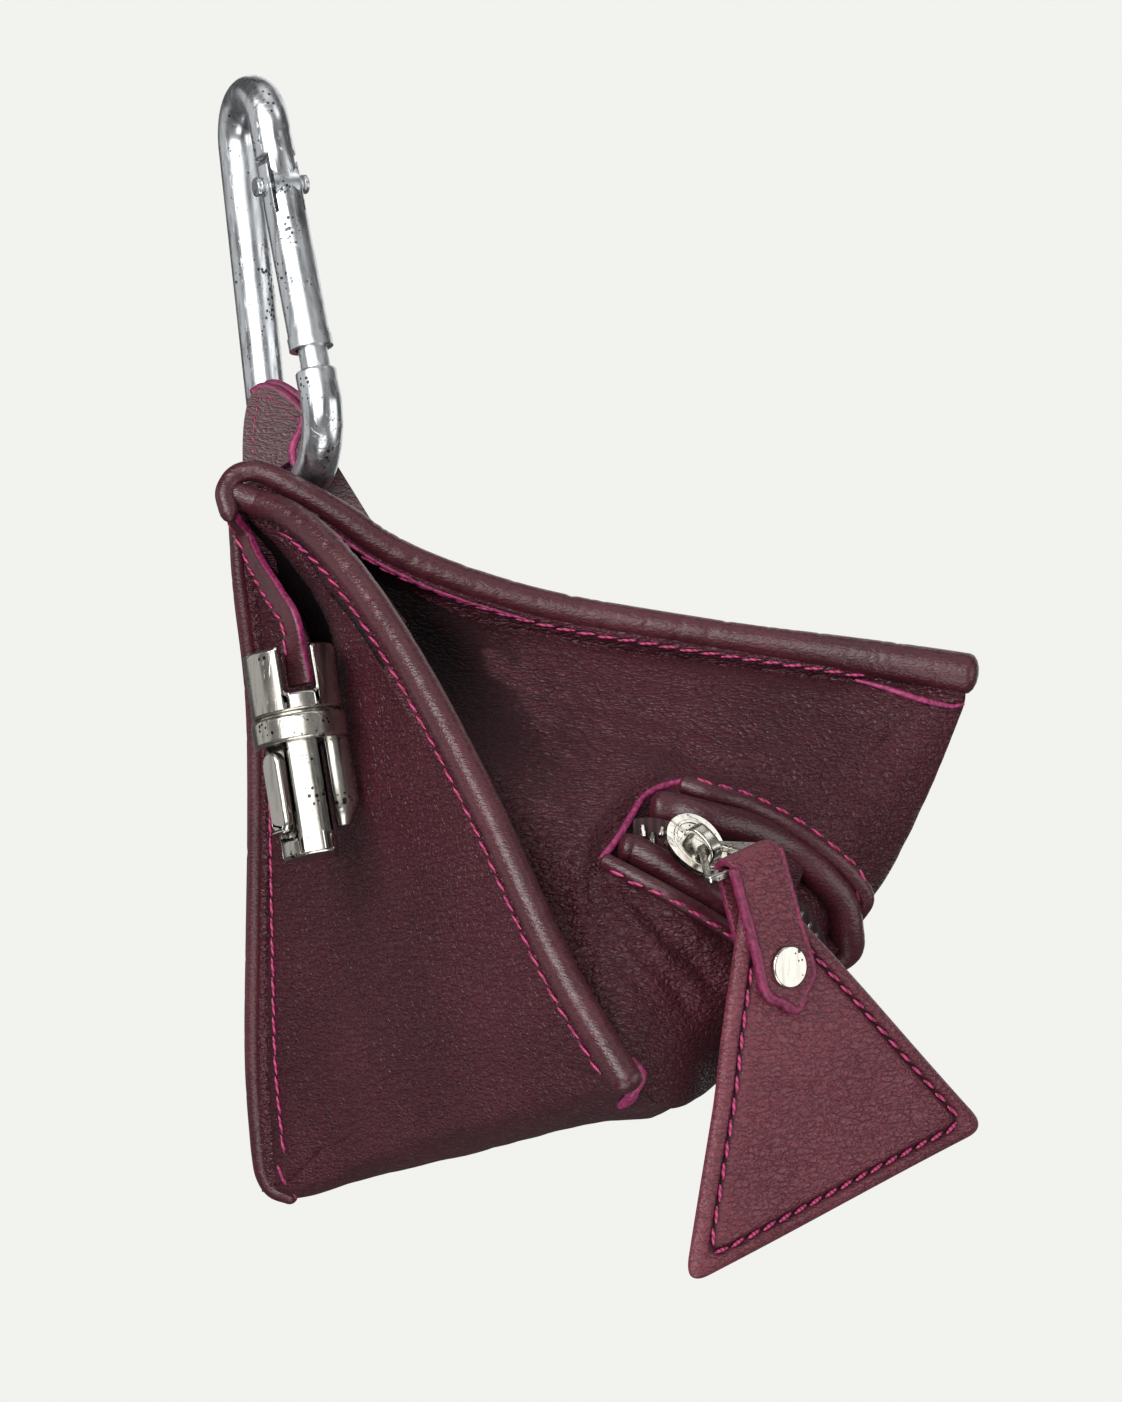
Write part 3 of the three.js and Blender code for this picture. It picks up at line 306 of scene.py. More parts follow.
def smooth(value, low, high):
    t = np.clip((value - low) / (high - low), 0, 1)
    return t * t * (3 - 2 * t)


def hill(value, wide):
    return np.exp(-(value / wide) ** 2)


def lengths(points):
    return np.concatenate([[0], np.cumsum(np.linalg.norm(np.diff(points, axis=0), axis=1))])


# Cubic between two points that leaves and reaches them with given slopes
def cubic(t, start, stop, leave, reach):
    return ((2 * t**3 - 3 * t**2 + 1) * start + (t**3 - 2 * t**2 + t) * leave
            + (-2 * t**3 + 3 * t**2) * stop + (t**3 - t**2) * reach)


# A smooth line of many points through a few
def spline(points, count):
    points = np.array(points, float)
    gaps = np.sqrt(np.linalg.norm(np.diff(points, axis=0), axis=1))
    marks = np.concatenate([[0], np.cumsum(np.maximum(gaps, 1e-6))])
    slopes = np.gradient(points, marks, axis=0)
    t = np.linspace(0, marks[-1], count)
    i = np.clip(np.searchsorted(marks, t, side="right") - 1, 0, len(marks) - 2)
    span = (marks[i + 1] - marks[i])[:, None]
    s = ((t - marks[i]) / span[:, 0])[:, None]
    return cubic(s, points[i], points[i + 1], span * slopes[i], span * slopes[i + 1])


def between(values, marks, at):
    return np.stack([np.interp(at, marks, values[:, k]) for k in range(values.shape[1])], axis=1)


def lineFrame(points, first=None):
    far = lengths(points)
    along = unit(np.gradient(points, far, axis=0))
    seed = np.array(first if first is not None else ((0, 0, 1) if abs(along[0][2]) < 0.8 else (1, 0, 0)), float)
    across = np.empty_like(points)
    for i, way in enumerate(along):
        seed = seed - way * seed.dot(way)
        seed = seed / np.linalg.norm(seed)
        across[i] = seed
    return far, along, across, np.cross(along, across)


def frameOf(at, x, y, z):
    return Matrix.Translation(Vector(at)) @ Matrix((x, y, z)).transposed().to_4x4()


# A round roll along a line. radius: one or by share; relief: added by share, length and turn; ends: how round they are
def tubeMesh(points, radius, sides, rings, ends, relief=None, first=None, flat=(1.0, 1.0)):
    far, along, across, other = lineFrame(points, first)
    cap = 4
    total = rings + 2 * cap

    def place(u, v):
        row = np.rint(v * total)
        share = np.clip((row - cap) / rings, 0, 1)
        length = share * far[-1]
        near = np.clip(1 - row / cap, 0, 1) * math.pi / 2
        out = np.clip((row - cap - rings) / cap, 0, 1) * math.pi / 2
        turn = 2 * math.pi * u
        smoothRadius = radius(share) if callable(radius) else np.full_like(share, radius)
        r = smoothRadius + (relief(length, turn) if relief else 0)
        r = r * np.cos(near) * np.cos(out)
        reach = (ends[1] * np.sin(out) - ends[0] * np.sin(near)) * smoothRadius
        return (between(points, far, length) + between(along, far, length) * reach[:, None]
                + unit(between(across, far, length)) * (np.cos(turn) * r * flat[0])[:, None]
                + unit(between(other, far, length)) * (np.sin(turn) * r * flat[1])[:, None])

    return gridMesh(sides, total, place)


# Small cross creases in a roll: each has its own place, turn and depth
def rollCreases(count, seed, depth, longest):
    draw = np.random.default_rng(seed)
    marks = np.stack([draw.uniform(0.03, 0.97, count), draw.uniform(0, 2 * math.pi, count),
                      draw.uniform(0.3, 1.0, count) * depth, draw.uniform(0.35, 0.8, count),
                      draw.uniform(0.25, 0.8, count), draw.uniform(-0.9, 0.9, count)], axis=1)

    def relief(length, turn):
        total = np.zeros_like(length)
        for at, angle, deep, wide, span, slant in marks:
            past = np.angle(np.exp(1j * (turn - angle)))
            beside = length - at * longest - slant * past
            total -= deep * np.exp(-(beside / wide) ** 2 - (past / span) ** 2)
        return total

    return relief


# A creased roll as a piece. creases: how many, seed, depth and the length that they spread over
def newRoll(name, points, radius, sides, rings, ends, creases, material, nodes=(), body="bag"):
    return newPiece(name, tubeMesh(points, radius, sides, rings, ends, rollCreases(*creases)), [material], nodes, body)


# Place, way, side and up at a length along a line on a surface
def standing(points, normals, far, along, length):
    spot, way, up = (between(values, far, np.array([length]))[0] for values in (points, along, normals))
    way = Vector(unit(way))
    side = Vector(unit(up)).cross(way).normalized()
    return Vector(spot), way, side, way.cross(side).normalized()


# A row of stitches laid along a line on a surface
def stitchRow(name, points, normals, pitch, long, thick, body="bag"):
    sink, lean = 0.15, 0.16
    far, along, _, _ = lineFrame(points)
    bm = bmesh.new()
    count = max(2, int(far[-1] / pitch))
    size = Matrix.Diagonal((thick / 2 * mm, thick / 2 * mm, long / 2 * mm, 1))
    for k in range(count):
        spot, way, side, up = standing(points, normals, far, along, (k + 0.5) * far[-1] / count)
        way = (Matrix.Rotation(lean, 3, up) @ way).normalized()
        turn = frameOf((spot + up * (thick * (0.5 - sink))) * mm, way, up.cross(way), up)
        bmesh.ops.create_uvsphere(bm, u_segments=8, v_segments=6, radius=1, matrix=turn @ alongX.inverted() @ size)
    return newPiece(name, bm, [pinkThread], body=body)


# Pouch: sections from the top corner to the three lower corners, as in the solids.
# front, top, side: middles of the rolled seams. out: how far the left, right and back walls stand out
pouch = dict(
    front=[(0.6, -17, -75.6), (10.0, -24, -79.7), (20.9, -36, -90.3), (33.8, -51, -109.5), (46.8, -66, -133.7),
           (60.1, -80, -161.9), (72.4, -92, -182.3)],
    top=[(-1.8, -16, -72.1), (12.1, -17, -75.0), (29.4, -16, -86.3), (54.3, -15, -95.1), (83.1, -16, -100.5),
         (111.9, -18, -104.8), (137.0, -20, -108.8)],
    side=[(-2.8, -13, -74.7), (-1.8, -11, -89.8), (0.6, -7, -112.0), (1.2, -3, -136.4), (1.4, 1, -160.9),
          (1.8, 5, -185.6), (3.6, 9, -207.5)],
    out=[(0, 0, 0), (0, -1, 1), (0.5, -4, 3), (1, -7, 5), (1.5, -4, 7), (2, 2, 8), (2, -6, 8)],
    rollTip=1.8, roll=2.9, sideRoll=1.7, seamGap=0.95, seamEnd=0.995,
    hang=dict(corner=11, left=16, right=35, back=13, middle=19),
    seamDip=0.9, seamDipWide=2.4, foldBlur=0.07, columns=318, rows=206, wallRows=0.78, first=0.04, hem=0.03,
)
walls = dict(left=("side", "front", "top", 0), right=("front", "top", "side", 1), back=("top", "side", "front", 2))
zipLine = dict(start=0.8, stop=1.5, acrossStart=0.345, acrossStop=0.445, rise=4.0, plateau=10.0, skirt=26.0)


def through(rows, share):
    rows = np.array(rows, float)
    last = len(rows) - 1
    p = np.clip(share, 0, 1) * last
    i = np.clip(np.floor(p).astype(int), 0, last - 1)
    wide = np.concatenate([[2 * rows[0] - rows[1]], rows, [2 * rows[-1] - rows[-2]]])
    leave, reach = 0.5 * (wide[i + 2] - wide[i]), 0.5 * (wide[i + 3] - wide[i + 1])
    return cubic((p - i)[:, None], rows[i], rows[i + 1], leave, reach)


def rollRadius(share):
    return pouch["rollTip"] + (pouch["roll"] - pouch["rollTip"]) * smooth(share, 0, 0.3)


def incentre(a, b, c):
    la, lb, lc = (np.linalg.norm(d, axis=1, keepdims=True) for d in (b - c, c - a, a - b))
    return (a * la + b * lb + c * lc) / (la + lb + lc)


# Corners of the pouch's skin beside its rolled seams
def cornersAt(share):
    lines = {name: through(pouch[name], share) for name in ("front", "top", "side")}
    middle = incentre(lines["front"], lines["top"], lines["side"])
    beside = rollRadius(share) + pouch["seamGap"]
    clear = dict(front=beside, top=beside, side=np.full_like(share, pouch["sideRoll"] + pouch["seamGap"]))
    corners = {}
    for name, line in lines.items():
        inward = middle - line
        room = np.linalg.norm(inward, axis=1)
        corners[name] = line + unit(inward) * np.minimum(clear[name], 0.6 * room)[:, None]
    return corners, incentre(corners["front"], corners["top"], corners["side"])


lowCorners, _ = cornersAt(np.ones(1))
baseWay = np.cross(lowCorners["top"] - lowCorners["front"], lowCorners["side"] - lowCorners["front"])[0]
baseWay = baseWay / np.linalg.norm(baseWay) * (-1 if baseWay[2] > 0 else 1)


def zipAcross(share):
    way = (share - zipLine["start"]) / (zipLine["stop"] - zipLine["start"])
    return zipLine["acrossStart"] + way * (zipLine["acrossStop"] - zipLine["acrossStart"])


def zipRise(share, beside):
    down = smooth(share, zipLine["start"] - 0.14, zipLine["start"] + 0.03) * (1 - smooth(share, 1, 1.4))
    return zipLine["rise"] * down * (1 - smooth(np.abs(beside), zipLine["plateau"], zipLine["skirt"]))


# A point of a wall: share 0 to 1 runs down the seams and 1 to 2 under the base, across runs from seam to seam
def wallPoint(wall, share, across):
    start, stop, third, column = walls[wall]
    down = np.minimum(share, 1)
    corners, centre = cornersAt(down)
    side = corners[stop] - corners[start]
    wide = np.linalg.norm(side, axis=1)
    point = corners[start] + side * across[:, None]
    out = point - corners[third]
    out = unit(out - side * (np.sum(out * side, axis=1) / np.sum(side * side, axis=1))[:, None])
    hump = 4 * np.clip(across, 0, 1) * (1 - np.clip(across, 0, 1))
    rise = through(pouch["out"], down)[:, column] * hump
    edge = np.minimum(across, 1 - across) * wide
    rise = rise - pouch["seamDip"] * hill(edge, pouch["seamDipWide"]) * smooth(down, 0.1, 0.25) * (share <= 1)
    if wall == "right":
        rise = rise + zipRise(share, (across - zipAcross(share)) * wide)
    point = point + out * rise[:, None]
    under = np.clip(share - 1, 0, 1)
    turn = under * math.pi / 2
    drawn = np.maximum(np.cos(turn), 0)[:, None] ** 0.6
    hang = pouch["hang"]
    edge = hang["corner"] + (hang[wall] - hang["corner"]) * hump**0.7
    low = edge + (hang["middle"] - edge) * under
    return centre + (point - centre) * drawn + baseWay * (low * np.sin(turn) ** 0.8)[:, None]


def wallFrame(wall, share, across):
    step = 0.004
    share, across = np.atleast_1d(np.array(share, float)), np.atleast_1d(np.array(across, float))
    at = wallPoint(wall, share, across)
    along = unit(wallPoint(wall, share + step, across) - wallPoint(wall, share - step, across))
    over = unit(wallPoint(wall, share, across + step) - wallPoint(wall, share, across - step))
    normal = unit(np.cross(over, along))
    centre = cornersAt(np.minimum(share, 1))[1]
    facing = np.where(share <= 1, np.sum(normal * (at - centre), axis=1), normal @ baseWay)
    return at, along, over, normal * np.where(facing < 0, -1, 1)[:, None]


# From a spot in the picture to a ray from the camera
def seenWay(px, py):
    across = (px - camera["wide"] / 2) / camera["pxPerMm"]
    up = (camera["high"] / 2 - py) / camera["pxPerMm"]
    return Vector((across, camera["plane"] - camera["at"][1], up)).normalized()


def seenAt(points):
    away = 1000.0 / (points[:, 1] - camera["at"][1]) * camera["pxPerMm"]
    return np.stack([camera["wide"] / 2 + (points[:, 0] - camera["at"][0]) * away,
                     camera["high"] / 2 - (points[:, 2] - camera["at"][2]) * away], axis=1)


# Distance from picture spots to a line in the picture, with the share along it
def besideSeen(spots, line):
    line = np.array(line, float)
    best = np.full(len(spots), 1e9)
    share = np.zeros(len(spots))
    for k, (a, b) in enumerate(zip(line[:-1], line[1:])):
        t = np.clip(((spots - a) @ (b - a)) / ((b - a) @ (b - a)), 0, 1)
        dist = np.linalg.norm(spots - (a + t[:, None] * (b - a)), axis=1)
        near = dist < best
        best = np.where(near, dist, best)
        share = np.where(near, (k + t) / (len(line) - 1), share)
    return best, share


# Reads the second number of a list of pairs at values of the first, or the first at values of the second
def readOff(pairs, at, first=0):
    pairs = np.array(pairs, float)
    return np.interp(at, pairs[:, first], pairs[:, 1 - first])


# The mouth, and the folds and wrinkles that show in the leather: lines in the picture, half width and depth in mm
mouth = dict(lip=[(240, 520), (258, 550), (280, 585), (302, 615), (312, 640), (316, 668), (318, 700)],
             far=[(246, 515), (282, 545), (318, 590), (334, 625), (341, 655), (343, 680), (342, 705)],
             deep=[(505, 1.5), (550, 3.0), (600, 5.5), (650, 9.0)], top=505, foot=712)
folds = [
    ([(600, 915), (596, 880), (606, 840), (640, 795), (690, 762), (760, 772), (830, 800)], 2.6, -1.5),
    ([(585, 930), (578, 880), (590, 835), (625, 785), (680, 748)], 1.8, 0.8),
    ([(612, 884), (640, 905), (668, 935), (700, 965), (735, 1005)], 2.0, -1.7),
    ([(600, 885), (612, 915), (640, 950), (675, 985), (700, 1020)], 1.7, -1.2),
    ([(655, 890), (690, 925), (722, 960)], 1.6, 0.7),
    ([(588, 880), (596, 920), (620, 960), (655, 1000)], 1.4, -0.9),
    ([(560, 880), (575, 925), (605, 975)], 1.5, -0.6),
    ([(500, 690), (600, 705), (700, 730), (800, 740)], 2.0, -0.5),
    ([(520, 730), (610, 735), (690, 750)], 1.4, -0.4),
    ([(760, 700), (840, 715), (905, 740)], 2.4, -0.5),
    ([(395, 600), (450, 640), (500, 690), (545, 750)], 5.0, -1.2),
    ([(440, 610), (520, 640), (600, 660), (700, 680)], 4.5, -0.8),
    ([(565, 870), (520, 850), (480, 800)], 1.2, -0.35),
    ([(560, 850), (525, 822), (500, 780)], 1.0, -0.3),
    ([(330, 820), (345, 900), (340, 1000), (335, 1080)], 9.0, -0.8),
    ([(300, 1120), (420, 1100), (540, 1075)], 6.0, -0.5),
    ([(700, 1085), (745, 1060), (800, 1000)], 3.0, -0.5),
    ([(880, 760), (915, 720), (940, 700)], 3.5, -0.5),
]
sag = dict(line=[(255, -3.6), (300, -3.2), (350, 0.2), (436, 2.6), (545, 3.2), (610, 2.0), (650, 0.0)], high=1010,
           low=1150)
cornerReach = dict(side=2.2, sideWide=12.0, far=(3.0, 0.0, 0.6), farWide=10.0)
valleys = dict(deep=4.6, wide=8.0, under=2.0, underWide=5.0, beside=5.0)
unevenness = ((0.045, 0.55, (0, 0, 0)), (0.14, 0.22, (7, 3, 1)), (0.4, 0.07, (2, 9, 5)))
# The zip's panel in the picture: the inner edges of its welts and its cut left end
zipPanel = dict(sunk=3.2,
                upper=[(640, 802), (656, 792), (682, 790), (704, 800), (740, 810), (780, 828), (820, 854), (848, 880),
                       (862, 905), (866, 930)],
                lower=[(602, 858), (620, 860), (636, 870), (668, 886), (700, 903), (724, 917), (760, 942), (800, 968),
                       (866, 1000)],
                end=[(656, 791), (640, 803), (622, 836), (602, 860)])


def skinPoints(u, v):
    wallNumber = np.minimum(np.floor(u * 3).astype(int), 2)
    within = u * 3 - wallNumber
    knee, hem = pouch["wallRows"], pouch["hem"]
    down = np.where(v < knee, v / knee * 0.5, 0.5 + (v - knee) / (1 - knee) * 0.5)
    share = pouch["first"] + (2 - pouch["first"]) * down
    across = np.clip((within - hem) / (1 - 2 * hem), 0, 1)
    points = np.zeros((len(u), 3))
    normals = np.zeros((len(u), 3))
    for number, (wall, (start, stop, _, _)) in enumerate(walls.items()):
        here = wallNumber == number
        rows, columns, part = share[here], across[here], within[here]
        at, _, _, normal = wallFrame(wall, rows, columns)
        # The lower fold is rounded by averaging along the wall
        blur = pouch["foldBlur"] * hill(rows - 1, 0.1) * smooth(np.minimum(columns, 1 - columns), 0.0, 0.14)
        blurred = sum(wallFrame(wall, rows + k * blur, columns)[0] for k in (-2, -1, 1, 2)) / 4
        at = at + (blurred - at) * 0.8
        tuck = np.where(part < hem, 1 - part / hem, np.where(part > 1 - hem, 1 - (1 - part) / hem, 0))
        seam = np.where((part < 0.5)[:, None], through(pouch[start], rows), through(pouch[stop], rows))
        tuck = tuck * (1 - smooth(rows, 1.0, 1.07))
        points[here] = at + (seam - at) * tuck[:, None]
        normals[here] = normal * (1 - tuck)[:, None]
    return points, normals, share, wallNumber


# Share of the way over the mouth, from its lip to its far edge
def overMouth(spots):
    lip, far = (readOff(mouth[name], spots[:, 1], 1) for name in ("lip", "far"))
    return (spots[:, 0] - lip) / np.maximum(far - lip, 1)


def placeSkin(u, v):
    points, normals, share, wallNumber = skinPoints(u, v)
    spots = seenAt(points)
    px, py = spots.T
    facing = normals[:, 1] < -0.05

    def near(place):
        return np.linalg.norm(points - place, axis=1)

    for line, wide, deep in folds:
        dist, along = besideSeen(spots, line)
        fade = np.clip(along / 0.15, 0, 1) * np.clip((1 - along) / 0.15, 0, 1)
        points += normals * (deep * hill(dist / camera["pxPerMm"], wide) * fade * facing)[:, None]
    # The right wall dips into a valley beside the front roll, and a little under the top one
    valley = (wallNumber == 1) * smooth(share, 0.12, 0.35) * (1 - smooth(share, 0.82, 1.0))
    sink = valleys["deep"] * hill(near(through(pouch["front"], share)) - valleys["beside"], valleys["wide"])
    sink = sink + valleys["under"] * hill(near(through(pouch["top"], share)) - valleys["beside"], valleys["underWide"])
    points -= normals * (sink * valley)[:, None]
    # The lower left edge and the far right corner reach out to their rolls' ends
    out = cornerReach["side"] * hill(near(through(pouch["side"], share)), cornerReach["sideWide"])
    points[:, 0] -= out * smooth(share, 0.35, 1.0) * (1 - smooth(share, 1.2, 1.6))
    points += np.array(cornerReach["far"]) * hill(near(np.array(pouch["top"][-1])), cornerReach["farWide"])[:, None]
    uneven = np.array([sum(noise.noise(Vector(p) * scale + Vector(moved)) * high for scale, high, moved in unevenness)
                       for p in points])
    points += normals * (uneven * smooth(share, 0.1, 0.25))[:, None]
    # The mouth is drawn back between the lip and the far edge
    part = overMouth(spots)
    ends = smooth(py, mouth["top"], mouth["top"] + 60) * (1 - smooth(py, mouth["foot"] - 30, mouth["foot"]))
    dip = smooth(part, -0.12, 0.12) * (1 - smooth(part, 0.45, 1.15)) * ends * (wallNumber == 0)
    points[:, 1] += readOff(mouth["deep"], py) * dip
    # The lower edge of the left wall sags to its left corner
    points[:, 2] += readOff(sag["line"], px) * smooth(py, sag["high"], sag["low"])
    # The zip's panel is sunk between its welts
    inside = smooth(py - readOff(zipPanel["upper"], px), 0, 9) * smooth(readOff(zipPanel["lower"], px) - py, 0, 9)
    inside = inside * smooth(px - readOff(zipPanel["end"], py, 1), 0, 7) * facing * (wallNumber == 1)
    points -= normals * (zipPanel["sunk"] * inside)[:, None]
    return points


skinMesh = gridMesh(pouch["columns"], pouch["rows"], placeSkin)
skinTree = BVHTree.FromBMesh(skinMesh)
skin = newPiece("pouchSkin", skinMesh, [burgundyLeather, shadedFleshSide], ("wall_left", "wall_right", "wall_back", "base"))


# Where the camera's ray through a picture spot meets the pouch's skin
def onSkin(spots, lift=0.0):
    eye = Vector(camera["at"]) * mm
    points, normals = [], []
    for px, py in spots:
        way = seenWay(px, py)
        hit, normal, _, _ = skinTree.ray_cast(eye, way)
        if hit is None:  # just past the outline: the nearest place on the skin
            deep = (points[-1][1] if points else camera["plane"]) - camera["at"][1]
            hit, normal, _, _ = skinTree.find_nearest(eye + way * (deep * mm / way.y))
        if normal.y > 0:
            normal = -normal
        points.append(np.array(hit) / mm + np.array(normal) * lift)
        normals.append(np.array(normal))
    return np.array(points), np.array(normals)


# Painted shade where the leather goes in and beside it, kept as an attribute of the skin: lines in the picture, half
# width in pixels.
# First the painted shade in the valley, then towards the left wall's outer edge and in the gaps between the zip's lips
# and welts
valleyShade = dict(line=[(370, 570), (410, 610), (445, 660), (480, 720), (520, 800), (570, 900)], wide=66.0, most=0.85,
                   least=0.12)
shades = [
    ([(250, 760), (256, 900), (262, 1100)], 80.0, 0.2),
    ([(664, 796), (704, 804), (740, 816), (780, 836), (818, 862), (844, 888), (853, 912)], 7.0, 0.9),
    ([(610, 856), (640, 870), (672, 888), (706, 908), (734, 928)], 7.0, 0.9),
    ([(652, 802), (640, 814), (628, 832), (620, 846)], 7.0, 0.9),
]
spotsNow = np.array([v.co for v in skin.data.vertices]) / mm
turned = np.array([v.normal for v in skin.data.vertices])
picture = seenAt(spotsNow)
# The mouth's inside gets painted shade, and its darkest faces get the near-black flesh side
partNow = overMouth(picture)
endsNow = smooth(picture[:, 1], mouth["top"], mouth["top"] + 22) * (1 - smooth(picture[:, 1], 690, 715))
inMouth = endsNow * ((turned[:, 1] < 0.6) & (spotsNow[:, 1] < -4.0))
dark = np.clip(smooth(partNow, -0.1, 0.1) * (1 - smooth(partNow, 0.55, 0.95)) * inMouth * 1.7, 0, 1)
for polygon in skin.data.polygons:
    if np.mean(dark[list(polygon.vertices)]) > 0.6:
        polygon.material_index = 1
facesFront = turned[:, 1] < 0.05
onRight = ((turned[:, 0] > 0.05) | (turned[:, 1] < -0.75)) & (picture[:, 0] > 330) & (spotsNow[:, 1] > -95)
dist, along = besideSeen(picture, valleyShade["line"])
most = valleyShade["most"] * (1 - smooth(along, 0.35, 1.0)) + valleyShade["least"]
dark = np.maximum(dark, hill(dist, valleyShade["wide"]) * most * onRight * facesFront)
for line, wide, most in shades:
    dark = np.maximum(dark, most * hill(besideSeen(picture, line)[0], wide) * facesFront)
setOwnValue(skin, "inside", dark)

# How strongly the leather is wrinkled: most beside the zip's left end, some over the right wall
creases = dict(spots=[((612, 905), 70, 1.0), ((600, 800), 75, 0.7), ((560, 700), 130, 0.45), ((470, 650), 80, 0.5),
                      ((760, 720), 130, 0.3), ((690, 960), 60, 0.7), ((330, 900), 120, 0.15)], least=0.1)
creased = np.full(len(picture), creases["least"])
for spot, reach, amount in creases["spots"]:
    creased = np.maximum(creased, amount * hill(np.linalg.norm(picture - np.array(spot), axis=1), reach))
setOwnValue(skin, "creased", creased)
print("stage: pouch skin")

# Rolled seams
rolls = dict(
    sides=22, frontStart=(-1.7, -17.6, -74.7), topReach=2.6, tip=1.9, topRound=3.05, endSwell=0.9,
    sideFoot=[(1.8, 8.8, -207.6), (3.6, 8.8, -210.4), (7.0, 8.2, -211.6)],
    topNear=[(8.0, -17.5, -72.7), (2.5, -17.2, -70.2), (-1.2, -17.4, -70.4)],
    topTurn=[(-3.2, -18.0, -72.0), (-4.1, -19.0, -74.4), (-3.4, -20.2, -77.4)],
    core=[(-1.6, -12.6, -79.0), (-1.2, -11.8, -76.2), (0.4, -11.4, -74.4), (3.5, -11.2, -74.6), (10.0, -12.0, -76.4),
          (15.0, -13.2, -79.2)],
    lip=[(236, 520), (244, 535), (256, 562), (276, 597), (291, 622)], lipNear=(0.0, 0.04, 0.22, 0.6, 0.86),
    lipThick=2.0, lipHalf=(1.3, 2.45))


def seamLine(name, start, stop, count):
    return through(pouch[name], np.linspace(start, stop, count))


frontLine = spline([rolls["frontStart"], *seamLine("front", 0.03, pouch["seamEnd"], 40)], 240)
newRoll("rollFront", frontLine, lambda share: 2.6 + 0.3 * smooth(share, 0.0, 0.14), rolls["sides"], 260, (0.8, 0.7),
        (170, 11, 0.2, 165.0), rolledLeather, ("piping_front",))
sideLine = seamLine("side", 0.05, 0.97, 24)
sideLine[:, 0] -= cornerReach["side"] * smooth(np.linspace(0.05, 0.97, 24), 0.35, 1.0)
newRoll("rollSide", spline([*sideLine, *rolls["sideFoot"]], 200),
        lambda share: pouch["sideRoll"] * (0.8 + 0.2 * smooth(share, 0, 0.15)), 16, 220, (0.7, 0.9),
        (60, 5, 0.12, 130.0), rolledLeather, ("piping_side",))

# The clasp's middle and directions, as in the solids
clasp = dict(share=0.529, across=0.546, standOff=10.2, lean=18.0, turn=37.0, radius=8.8, capRadius=8.7, cap=12.4,
             slot=6.0, slotDeep=8.8, slotIn=1.4, gap=0.35, collarFoot=4.0, collar=5.2, barrel=21.5, column=7.1,
             cup=4.2, cupIn=3.4, grooveNear=1.9, grooveFar=3.7, prongLong=16.4, prongRound=3.7, prongTip=4.4,
             prongBeside=0.4, prongPoint=0.3, leverWide=5.4, leverThick=2.6, leverLong=16.8, leverTravel=1.5,
             leverIn=1.2, leverGap=0.5)
claspAt, _, _, claspNormal = (a[0] for a in wallFrame("left", clasp["share"], clasp["across"]))
claspUp = np.array([-math.sin(math.radians(clasp["lean"])), 0, math.cos(math.radians(clasp["lean"]))])
claspUp = unit(claspUp - claspNormal * claspUp.dot(claspNormal))
claspMiddle = claspAt + claspNormal * clasp["standOff"]
claspFrame = frameOf(claspMiddle, claspNormal, np.cross(claspUp, claspNormal), claspUp)
claspBeside = np.array(Matrix.Rotation(-math.radians(clasp["turn"]), 3, Vector(claspUp)) @ Vector(claspNormal))
claspTop = clasp["collarFoot"] + clasp["collar"] + clasp["gap"] + clasp["cap"]
slotFoot = claspTop - clasp["slotDeep"]
inSlot = claspMiddle - claspBeside * clasp["slotIn"]

topSeam = seamLine("top", 0.2, 0.99, 60)[::-1]
topEnd = topSeam[0] + unit(topSeam[0] - topSeam[4]) * rolls["topReach"]
topLine = spline([topEnd, *topSeam[4:-1:4], *rolls["topNear"], *rolls["topTurn"]], 420)


def topRadius(share):
    swell = rolls["endSwell"] * (1 - smooth(share, 0.0, 0.3))
    return rolls["tip"] + (rolls["topRound"] - rolls["tip"]) * smooth(1 - share, 0.02, 0.25) + swell


newRoll("rollTop", topLine, topRadius, rolls["sides"], 420, (0.55, 1.5), (170, 23, 0.18, lengths(topLine)[-1]),
        rolledLeather, ("piping_top",))
# Folded leather that fills the top corner between the rolls
newRoll("cornerFold", spline(rolls["core"], 60), 2.5, 18, 60, (0.6, 0.6), (16, 9, 0.2, 18.0), rolledLeather)


# A flat band along a line, with rounded edges: normals point out of its face, paint goes by share round and along
def bandMesh(points, normals, half, thick, rows, paint=None):
    far, along, _, _ = lineFrame(points)

    def place(u, v):
        length = v * far[-1]
        way = unit(between(along, far, length))
        up = between(normals, far, length)
        up = unit(up - way * np.sum(up * way, axis=1)[:, None])
        over, out = (np.sign(a) * np.abs(a) ** 0.5 for a in (np.cos(2 * math.pi * u), np.sin(2 * math.pi * u)))
        return (between(points, far, length) + np.cross(way, up) * (half(v) * over)[:, None]
                + up * (thick / 2 * out)[:, None])

    bm = gridMesh(40, rows, place, paint)
    bmesh.ops.holes_fill(bm, edges=bm.edges, sides=60)
    bmesh.ops.recalc_face_normals(bm, faces=bm.faces)
    return bm


# The lip: the top roll opens out into a band that runs down the mouth into the clasp's slot
lipPoints, lipNormals = onSkin(rolls["lip"])
lipUp = unit(lipNormals[2:].mean(axis=0))
for k, (spot, near) in enumerate(zip(rolls["lip"], rolls["lipNear"])):
    deep = (lipPoints[k][1] - 1.8) * (1 - near) + (inSlot[1] + 0.5) * near
    way = seenWay(*spot)
    lipPoints[k] = np.array(camera["at"]) + np.array(way) * ((deep - camera["at"][1]) / way.y)
lipTail = [inSlot + claspUp * (claspTop - 1.0), inSlot + claspUp * (slotFoot + 2.0)]
lipLine = spline([*rolls["topTurn"][1:], *lipPoints[1:], *lipTail], 140)
slotFace = unit(claspNormal + np.array((0.0, -1.0, 0.0)))
lipFace = spline([lipUp, lipUp, *lipNormals[1:], slotFace, slotFace], 140)


def lipHalf(share):
    low, high = rolls["lipHalf"]
    return low + (high - low) * smooth(share, 0.0, 0.6)


